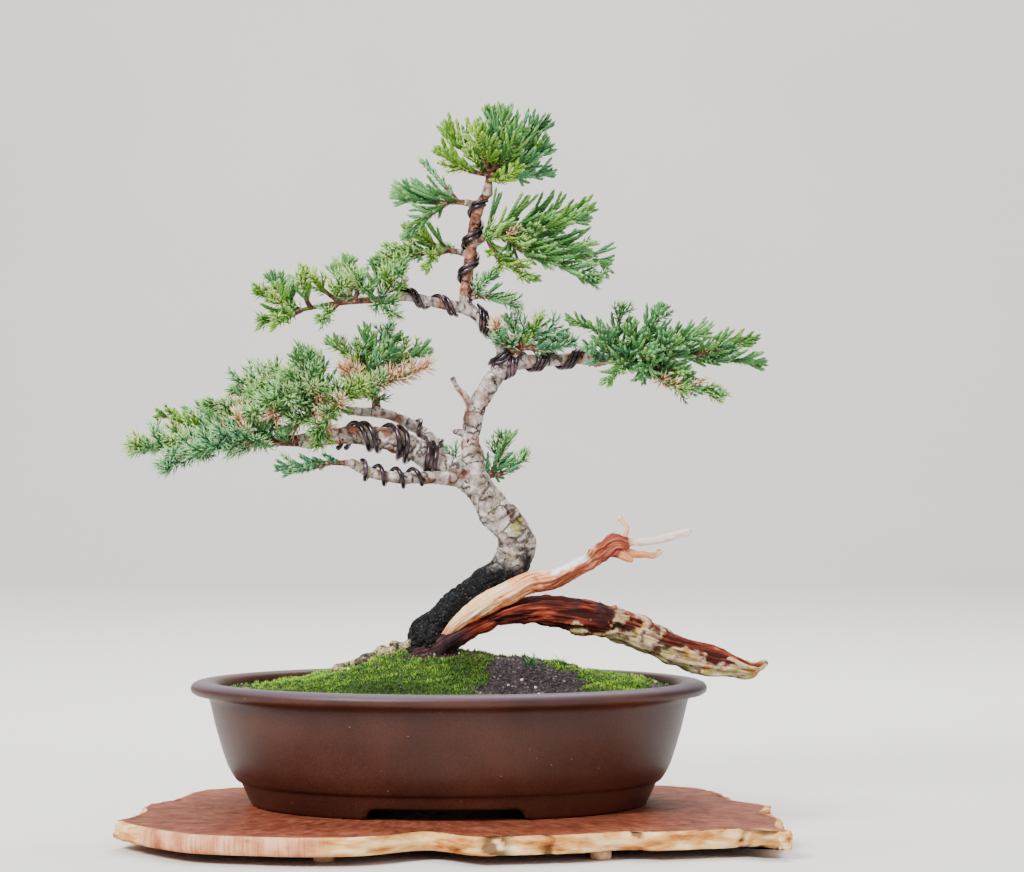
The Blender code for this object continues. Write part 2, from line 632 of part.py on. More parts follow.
def twig_rows(route, bare, leafy):
    """A twig's sections: widely spaced along its bare start, then one for each whorl of needles."""
    length = distances(route)[-1]
    turn = max(0.0, length - leafy)
    starts = np.linspace(bare, turn, max(2, round((turn - bare) / CORE_PITCH) + 1))
    whorls = np.linspace(turn, length, max(2, round((length - turn) / WHORL_PITCH)) + 1)
    return read_route(route, np.concatenate((starts, whorls[1:]))), len(starts) - 1


def leafy_twig(name, rows, first_whorl, rng):
    """A square twig whose side faces are each drawn out to a needle, and its end to a tip."""
    obj = tube(name, rows, 4)
    places = [world(row) for row in rows]
    middles = [(a + b) / 2 for a, b in zip(places, places[1:])]
    headings = [(b - a).normalized() for a, b in zip(places, places[1:])]
    bm = bmesh.new()
    bm.from_mesh(obj.data)
    bm.normal_update()
    raised, moves = [], []
    for face in bm.faces:
        centre = face.calc_center_median()
        if (centre - places[0]).length < END_FACE * MM:
            continue
        reach = rng.uniform(*NEEDLE_SHARES) * MM
        if (centre - places[-1]).length < END_FACE * MM:
            raised.append(face)
            moves.append(headings[-1] * NEEDLE_FORWARD * reach)
            continue
        nearest = min(range(len(middles)), key=lambda k: (middles[k] - centre).length)
        if nearest >= first_whorl:
            raised.append(face)
            moves.append((face.normal * NEEDLE_OUT + headings[nearest] * NEEDLE_FORWARD) * reach)
    centres = [face.calc_center_median() for face in raised]
    for vertex in bmesh.ops.poke(bm, faces=raised)["verts"]:
        nearest = min(range(len(centres)), key=lambda k: (centres[k] - vertex.co).length)
        vertex.co += moves[nearest]
    bm.to_mesh(obj.data)
    bm.free()
    return obj


def side_twig(base, forward, side, longest, rng):
    """One side twig: it leans forward and outward, and its end turns up."""
    across = forward.cross(UP).normalized() * side
    roll = rng.uniform(*TWIG_ROLLS)
    outward = across * math.cos(roll) + UP * math.sin(roll)
    lean = rng.uniform(*TWIG_LEANS)
    heading = forward * math.cos(lean) + outward * math.sin(lean)
    length = longest * rng.uniform(*TWIG_LENGTHS)
    middle = base + heading * length / 2
    tip = base + heading * length + UP * length * TWIG_RISE
    knots = [(*base, TWIG_RADIUS), (*middle, TWIG_RADIUS), (*tip, TWIG_RADIUS * TWIG_TIP_SHARE)]
    return smooth_route(knots, READ_STEP)


def pad_routes(name):
    """The routes of a pad's twigs with their radii; each but the first grows from the first."""
    twigs = PADS[name][1]
    main = smooth_route(twigs[0][0], READ_STEP)
    routes = []
    for index, (points, side_count, longest) in enumerate(twigs):
        if index > 0:
            nearest = np.argmin(np.linalg.norm(main - np.array(points[0]), axis=1))
            points = (tuple(main[nearest]),) + points[1:]
        share = np.linspace(0.0, 1.0, len(points))
        knots = [(*point, CORE_RADIUS + (TIP_RADIUS - CORE_RADIUS) * t)
                 for point, t in zip(points, share)]
        routes.append((smooth_route(knots, ROUTE_STEP), side_count, longest))
    return routes


def build_pad(name, space, rng):
    """A pad of foliage: slim twigs by their routes, with leafy side twigs placed by rule."""
    stub = PADS[name][0]
    pieces = []
    for index, (route, side_count, longest) in enumerate(pad_routes(name)):
        length = distances(route)[-1]
        start = stub + GAP if index == 0 else 0.0
        pieces.append(leafy_twig("core", *twig_rows(route, start, LEAFY_END), rng))
        for k in range(side_count):
            place = start + (length - start) * (k + 1.0) / (side_count + 1.5)
            here, ahead = read_route(route, np.array([place, place + 1.0]))
            forward = Vector(ahead[:3] - here[:3]).normalized()
            for attempt in range(ATTEMPTS):
                side = 1 if (k + attempt // ATTEMPTS_A_SIDE) % 2 else -1
                size = longest * (1.0 if attempt < ATTEMPTS_A_SIDE * 2 else SHORT_TWIG_SHARE)
                twig = side_twig(Vector(here[:3]), forward, side, size, rng)
                if space.is_free(name, twig, TWIG_REACH):
                    rows, first_whorl = twig_rows(twig, 0.0, size * TWIG_LEAFY_SHARE)
                    pieces.append(leafy_twig("side", rows, first_whorl, rng))
                    space.add(name, twig, NEEDLE_OUT)
                    break
    return fuse(name, pieces)


def build():
    clear_scene()
    parts = new_collection("juniper_bonsai")
    cutters = new_collection("cutters")
    burl = principled("burl_wood", (0.60, 0.33, 0.17), 0.45)
    foot_wood = principled("slab_foot_wood", (0.45, 0.28, 0.16), 0.6)
    stoneware = principled("brown_stoneware", (0.055, 0.026, 0.019), 0.5)
    mesh_plastic = principled("drain_mesh", (0.02, 0.02, 0.02), 0.6)
    earth = principled("mossy_soil", (0.07, 0.09, 0.02), 0.95)
    bark = principled("juniper_wood", (0.26, 0.17, 0.12), 0.85)
    wire_metal = principled("anodised_wire", (0.03, 0.018, 0.016), 0.45, 0.8)
    green = principled("juniper_foliage", (0.10, 0.20, 0.07), 0.7)

    add_part(build_slab(), parts, burl)
    for foot in build_slab_feet():
        add_part(foot, parts, foot_wood, SMOOTH_ANGLE)
    add_part(build_pot(cutters), parts, stoneware, SMOOTH_ANGLE)
    add_part(build_screen("drain_screen_left", -DRAIN_X, cutters), parts, mesh_plastic)
    add_part(build_screen("drain_screen_right", DRAIN_X, cutters), parts, mesh_plastic)
    add_part(build_soil(cutters), parts, earth, SMOOTH_ANGLE)
    add_part(build_wood(), parts, bark, SMOOTH_ANGLE)

    space = Space()
    wood = (TRUNK, LEFT_BRANCH, LEFT_UPPER_BRANCH, LEFT_LOWER_BRANCH, LEFT_SECOND_BRANCH, RIGHT_BRANCH,
            JIN, LOG, DEAD_TWIG, DEAD_STUB) + JIN_PRONGS
    for route in wood:
        space.add("trunk_and_branches", smooth_route(route, ROUTE_STEP))
    for name, coil in COILS.items():
        route = coil_route(*coil)
        space.add(name, route)
        add_part(tube(name, route, WIRE_SIDES), parts, wire_metal, SMOOTH_ANGLE)
    for name, (stub, _) in PADS.items():
        for index, (route, _, _) in enumerate(pad_routes(name)):
            length = distances(route)[-1]
            start = stub + GAP if index == 0 else 0.0
            space.add(name, read_route(route, np.arange(start, length, READ_STEP)))
            leafy = read_route(route, np.arange(length - LEAFY_END, length, READ_STEP))
            space.add(name, leafy, NEEDLE_OUT)
    for name in PADS:
        add_part(build_pad(name, space, random.Random(name)), parts, green)


build()
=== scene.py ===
"""Looks of the juniper bonsai: bark, deadwood, needles, wires, moss, stoneware and burl wood.

Lengths are in millimetres in the pot's frame, with x to the right, y away from the front and z
up from the pot's feet. new_piece() turns them into metres in the part's frame.
"""

import json
from functools import partial

import bpy
import numpy as np
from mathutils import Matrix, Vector

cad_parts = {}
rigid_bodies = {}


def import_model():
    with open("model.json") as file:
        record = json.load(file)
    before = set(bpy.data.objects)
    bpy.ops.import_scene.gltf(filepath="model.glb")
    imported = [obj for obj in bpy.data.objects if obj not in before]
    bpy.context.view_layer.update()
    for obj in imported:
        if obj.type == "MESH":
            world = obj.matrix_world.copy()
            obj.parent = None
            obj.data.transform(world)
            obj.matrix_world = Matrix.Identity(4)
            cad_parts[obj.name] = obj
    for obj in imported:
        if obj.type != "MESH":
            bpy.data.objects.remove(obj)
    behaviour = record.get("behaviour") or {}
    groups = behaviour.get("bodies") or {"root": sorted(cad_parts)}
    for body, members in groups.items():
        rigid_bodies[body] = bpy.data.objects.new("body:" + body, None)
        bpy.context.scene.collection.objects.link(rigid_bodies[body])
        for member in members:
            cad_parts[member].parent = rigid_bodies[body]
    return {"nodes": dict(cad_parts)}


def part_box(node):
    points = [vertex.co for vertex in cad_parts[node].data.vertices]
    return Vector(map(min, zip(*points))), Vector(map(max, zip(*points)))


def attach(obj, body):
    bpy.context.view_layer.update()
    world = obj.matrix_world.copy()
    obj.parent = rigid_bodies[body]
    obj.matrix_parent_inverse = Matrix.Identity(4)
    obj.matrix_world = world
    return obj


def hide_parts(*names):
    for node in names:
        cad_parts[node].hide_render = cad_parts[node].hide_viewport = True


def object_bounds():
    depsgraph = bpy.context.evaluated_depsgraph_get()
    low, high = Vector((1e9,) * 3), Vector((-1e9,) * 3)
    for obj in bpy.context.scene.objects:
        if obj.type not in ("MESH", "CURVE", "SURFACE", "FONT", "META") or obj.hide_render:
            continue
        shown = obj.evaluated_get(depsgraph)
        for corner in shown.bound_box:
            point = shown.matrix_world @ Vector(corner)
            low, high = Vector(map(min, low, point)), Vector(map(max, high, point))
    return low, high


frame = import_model()
cad_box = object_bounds()

MM = 0.001
TURN = 2 * np.pi
UP = np.array((0.0, 0.0, 1.0))
POT_CENTRE = np.array((-1.5, 16.1, 12.6))

BUMP_STRENGTH = 0.8
POT_DEPTH_RATIO = 0.75
SOIL_EDGE = 50.5
SOIL_BOTTOM = 13.8
SOIL_RADIUS = 103.9
SLAB_TOP, SLAB_UNDERSIDE = -0.3, -8.3
SLAB_FOOT_BOTTOM, SLAB_FOOT_HEIGHT = -12.6, 4.0

# The pot's half section as (radius, height): floor, inner wall, rolled lip, belly and foot ring
POT_SECTION = (
    (0, 12.0), (60, 12.2), (86, 12.6), (91.5, 14.2), (95.5, 19), (99, 26), (101, 33), (103, 42),
    (104.2, 50.5), (104.7, 53.2), (105.6, 54.8), (107, 55.4), (109, 55.6), (112, 55.6), (114.4, 55.2),
    (116.1, 54.4), (117.0, 53.1), (117.1, 51.8), (116.5, 50.6), (115.2, 49.8), (113, 49.5),
    (110.7, 49.2), (109.1, 48.0), (108.2, 45.6), (106.9, 40), (105.6, 34.5), (104, 29), (102.3, 23.4),
    (100.5, 18.2), (98.5, 14.3), (96.8, 11.7), (96.1, 11.0), (95.2, 10.8), (94.5, 10.4), (94.1, 9.6),
    (91.8, 4.6), (89.9, 0.6), (89.2, 0.0), (81.0, 0.0), (80.5, 0.7), (80.1, 6.4), (79.5, 7.0),
    (40, 7.0), (0, 7.0))
FOOT_GAP_HEIGHT, FOOT_GAP_TOP, FOOT_GAP_BOTTOM = 4.8, 32.0, 35.0
DRAINS = ((-37.0, 9.0), (37.0, 9.0))

# Mounds of the soil and cushions of moss as (x, y, height, width across, width deep)
SOIL_MOUNDS = ((-14.0, 2.0, 18.5, 43.0, 40.0), (45.0, 12.0, 9.0, 36.0, 38.0))
MOSS_CUSHIONS = ((68, -41, 3.6, 13, 8), (-38, -30, 2.0, 22, 16), (-78, -16, 1.6, 14, 14),
                 (4, -34, 1.6, 12, 12), (-30, 34, 2.2, 26, 18), (84, 6, 1.8, 12, 20),
                 (30, 44, 2.0, 24, 14))

# Where moss is olive, and where painted shade darkens it, as (x, y, amount, width across and deep)
MOSS_OLIVE = ((10, -3, 1.0, 9, 14), (24, 8, 0.8, 10, 10), (58, 3, 0.6, 20, 7))
MOSS_PAINTED_SHADE = ((-24, -52, 0.9, 24, 9), (8, -30, 0.7, 8, 12), (-70, -40, 0.5, 16, 8), (58, 16, 0.4, 14, 8))

# Dark pockets of the slab's front edge as (x, half width)
SLAB_POCKETS = ((22.0, 8.5), (44.0, 3.0), (80.0, 4.0), (126.0, 3.0))

# Where moss grows (above 0) and where bare gravel shows (below 0), as (x, y, amount, widths)
MOSS_PATCHES = ((-7, -10, -1.5, 13, 6), (-45, -12, 1.0, 52, 60), (76, -34, 0.95, 22, 22),
                (80, 12, 0.75, 26, 34), (20, 50, 0.8, 60, 26), (6, -30, 0.8, 14, 22), (40, -34, -1.3, 22, 26),
                (36, -4, -0.5, 16, 12), (60, 3, 1.0, 20, 8), (-88, 14, -0.6, 12, 20),
                (96, -4, -0.8, 8, 30))

# Outline of the burl slab, anticlockwise from the left end
SLAB_OUTLINE = (
    (-145, -63), (-137, -78), (-127, -89), (-107, -108), (-82, -116), (-58, -120), (-33, -117),
    (-10, -101), (-1, -104), (14, -117), (36, -114), (59, -108), (75, -100), (90, -102),
    (112, -96), (131, -92), (141, -99), (148, -97), (145, -84), (148, -56), (143, -34), (147, -10),
    (138, 4), (132, 14), (129, 38), (120, 58), (99, 71), (66, 68), (34, 73), (0, 70), (-36, 74),
    (-70, 68), (-102, 63), (-121, 49), (-126, 28), (-132, 8), (-140, -10), (-138, -36))
SLAB_FEET = ((-50.0, -100.0), (66.0, -92.0), (84.0, 48.0), (-84.0, 44.0))

# The slab's edge from its underside up as (mm inwards, share of the slab's thickness)
EDGE_PROFILE = ((2.6, 0.0), (1.4, 0.06), (0.75, 0.2), (0.5, 0.4), (0.5, 0.6), (0.6, 0.8), (1.0, 0.93),
                (1.9, 1.0))

# Half section of a foot of the slab as (radius, height)
FOOT_SECTION = ((2.0, 0), (3.6, 0), (4.1, 0.15), (4.4, 0.6), (4.5, 1.4), (4.5, 2.6), (4.4, 3.4),
                (4.1, 3.85), (3.6, 4.0), (2.0, 4.0))

# Routes of the wood as (x, y, z, radius)
TRUNK = (
    (-15, 3, 38, 8.5), (-14, 2, 54, 10.0), (-11.5, 1, 69, 9.9), (-6.5, 0.5, 79, 8.3),
    (4, 0, 90, 7.3), (16, 0, 98, 7.2), (25, 0, 105.5, 8.0), (30.5, 0, 113, 8.9), (28.5, 0, 123, 8.3),
    (20, -1, 133.5, 7.4), (14.5, -1, 142.5, 6.7), (11, -1, 150, 6.3), (11, 0, 157, 4.9),
    (9.8, 0, 163.5, 4.4), (10.2, 1, 172, 4.3), (12.7, 2, 179.6, 4.5), (15.5, 3, 185.5, 4.3),
    (19.5, 4, 191.4, 4.3), (23.5, 5, 198, 4.1), (24, 4, 204, 3.5), (20.5, 2, 213.7, 3.0),
    (14, 0, 220, 2.9), (8.2, -1, 225.5, 2.9), (7.4, -2, 231, 2.8), (8.2, -2.5, 237, 2.7),
    (9.3, -3, 247, 2.6), (10.5, -4, 255, 2.6), (11.8, -5, 263.7, 2.5), (14.5, -6, 271.9, 2.3),
    (17.5, -6, 276, 2.0))
LEFT_BRANCH = (
    (12, -1, 144, 5.2), (4, -2, 149.5, 5.6), (-6, -3, 154.8, 5.7), (-17, -5, 161, 5.6),
    (-27, -8, 164.8, 5.0), (-42, -12, 166.5, 4.2), (-52, -14, 166, 3.7), (-62, -16, 164, 3.1))
LEFT_UPPER_BRANCH = (
    (-4, 0, 157, 3.0), (-10, 5, 166.5, 2.9), (-20, 8, 173, 2.6), (-30, 6, 176.8, 2.4),
    (-42, 0, 177.6, 2.1), (-51, -5, 179.5, 1.9))
LEFT_LOWER_BRANCH = (
    (4, -4, 147, 3.2), (-8, -12, 147.5, 2.9), (-22, -18, 147.5, 2.7), (-35, -22, 150, 2.5),
    (-43, -25, 154, 2.2))
LEFT_SECOND_BRANCH = (
    (9, -1, 224, 2.6), (-3, -3, 226, 2.5), (-13, -5, 228.4, 2.3), (-20, -6, 229.5, 2.2),
    (-28, -7, 228, 2.0))
RIGHT_BRANCH = (
    (22, 5, 196, 3.4), (32, 6, 200, 3.2), (45, 7, 201, 3.0), (60, 9, 202, 2.7), (67, 10, 201, 2.5))
JIN = (
    (-3, -5, 75, 1.6), (4, -6.5, 82, 3.5), (16, -7, 90, 4.9), (27, -7, 95.5, 5.3),
    (37, -6, 100, 5.1), (46.5, -6, 101.5, 4.7), (55.5, -6, 105.5, 4.2), (64, -6.5, 110, 3.9),
    (70, -7, 114.5, 4.7), (75, -7, 117, 5.3), (79.5, -7, 116.5, 3.5))
JIN_PRONGS = (
    ((76, -7, 118, 2.6), (79, -7, 120.5, 1.6), (80.6, -7.5, 124.5, 1.25), (78.6, -8, 127.5, 1.15),
     (77, -8, 129.2, 1.4)),
    ((76, -7, 117, 3.2), (82, -7.5, 118.4, 2.0), (90, -8.5, 118.6, 1.65), (98, -9.5, 120.2, 1.75),
     (103.5, -10.3, 122.0, 1.55), (108.5, -11, 123.2, 1.6)),
    ((76, -6, 114.5, 3.2), (82.3, -5, 113.2, 2.1), (89, -4.4, 112.6, 1.55), (93.6, -4, 112.3, 1.35),
     (95.6, -4, 114.2, 1.45)),
    ((77, -8, 113.5, 2.6), (82.6, -9.7, 110.0, 1.2)))
LOG_FOOT = ((-13, -4, 67.5, 5.0), (-5, -6, 70.5, 4.8), (3, -5, 74.5, 4.4), (11, -3, 79, 4.0),
            (20, -3, 83, 3.6))
LOG = (
    (10, -2, 81, 3.2), (20, -3, 85, 5.0), (29, -4, 87, 6.0), (42.7, -5, 88, 7.3),
    (56.8, -6, 85.5, 8.0), (73, -7, 82, 7.3), (84.5, -8, 78, 7.2), (96, -9, 72.8, 6.9),
    (107, -10, 68.8, 7.0), (118, -11, 65.4, 6.7), (128.6, -12, 62.6, 4.9), (136, -12.5, 61.2, 3.0),
    (142.5, -13, 64, 0.9))
SURFACE_ROOT = ((-12, -2, 5.2), (-21, -3, 3.9), (-27, -6, 3.0), (-33, -4, 3.1), (-39, -8, 2.3),
                (-46, -7, 2.4), (-54, -9, 1.4))
DEAD_TWIG = ((10.5, 0, 178, 2.0), (7.2, -1, 184.5, 1.5), (4.0, -1.5, 187.6, 1.4), (2.6, -2, 190.6, 1.15),
             (1.9, -2, 192.4, 1.45))
DEAD_STUB = ((9.5, 0, 167, 2.0), (2.5, -2, 168.5, 1.2))

# Splinters at the far end of the dead trunk
LOG_SPLINTERS = (((127, -15, 65.5, 1.5), (134, -16.5, 62.5, 1.2), (139, -17, 62.2, 0.4)),
                 ((126, -12, 60, 1.6), (132, -13, 58.2, 1.2), (135.5, -13, 57.6, 0.4)),
                 ((128, -9, 66, 1.4), (136, -9.5, 63.6, 1.1), (141, -10, 64.6, 0.4)))

# Windings of each wire as (route that carries it, from, to in mm along it, mm from turn to turn,
# below 0 where it winds the other way, strands, the gap from one to the next, wire radius, and
# where along the route a strand crosses the front)
WINDINGS = {
    "wire_left_branch": ((LEFT_BRANCH, 17.0, 67.0, 15.5, 2, 4.0, 1.2, 24.0),
                         (LEFT_UPPER_BRANCH, 4.0, 27.0, 13.0, 1, 0.0, 0.95, 16.0)),
    "wire_left_lower": ((LEFT_LOWER_BRANCH, 20.0, 49.0, 8.5, 1, 0.0, 1.0, 38.0),),
    "wire_left_second": ((LEFT_SECOND_BRANCH, 6.0, 33.0, 15.0, 2, 2.4, 0.85, 25.0),),
    "wire_right_branch": ((RIGHT_BRANCH, 3.5, 41.5, -14.1, 3, 1.8, 0.85, 7.2),),
    "wire_trunk_bend": ((TRUNK, 189.0, 217.0, 18.5, 3, 1.9, 0.85, 193.5),),
    "wire_apex_lower": ((TRUNK, 226.0, 246.5, 15.0, 2, 2.3, 0.9, 240.0),),
    "wire_apex_upper": ((TRUNK, 248.0, 271.0, 15.0, 2, 2.3, 0.9, 254.5),),
}

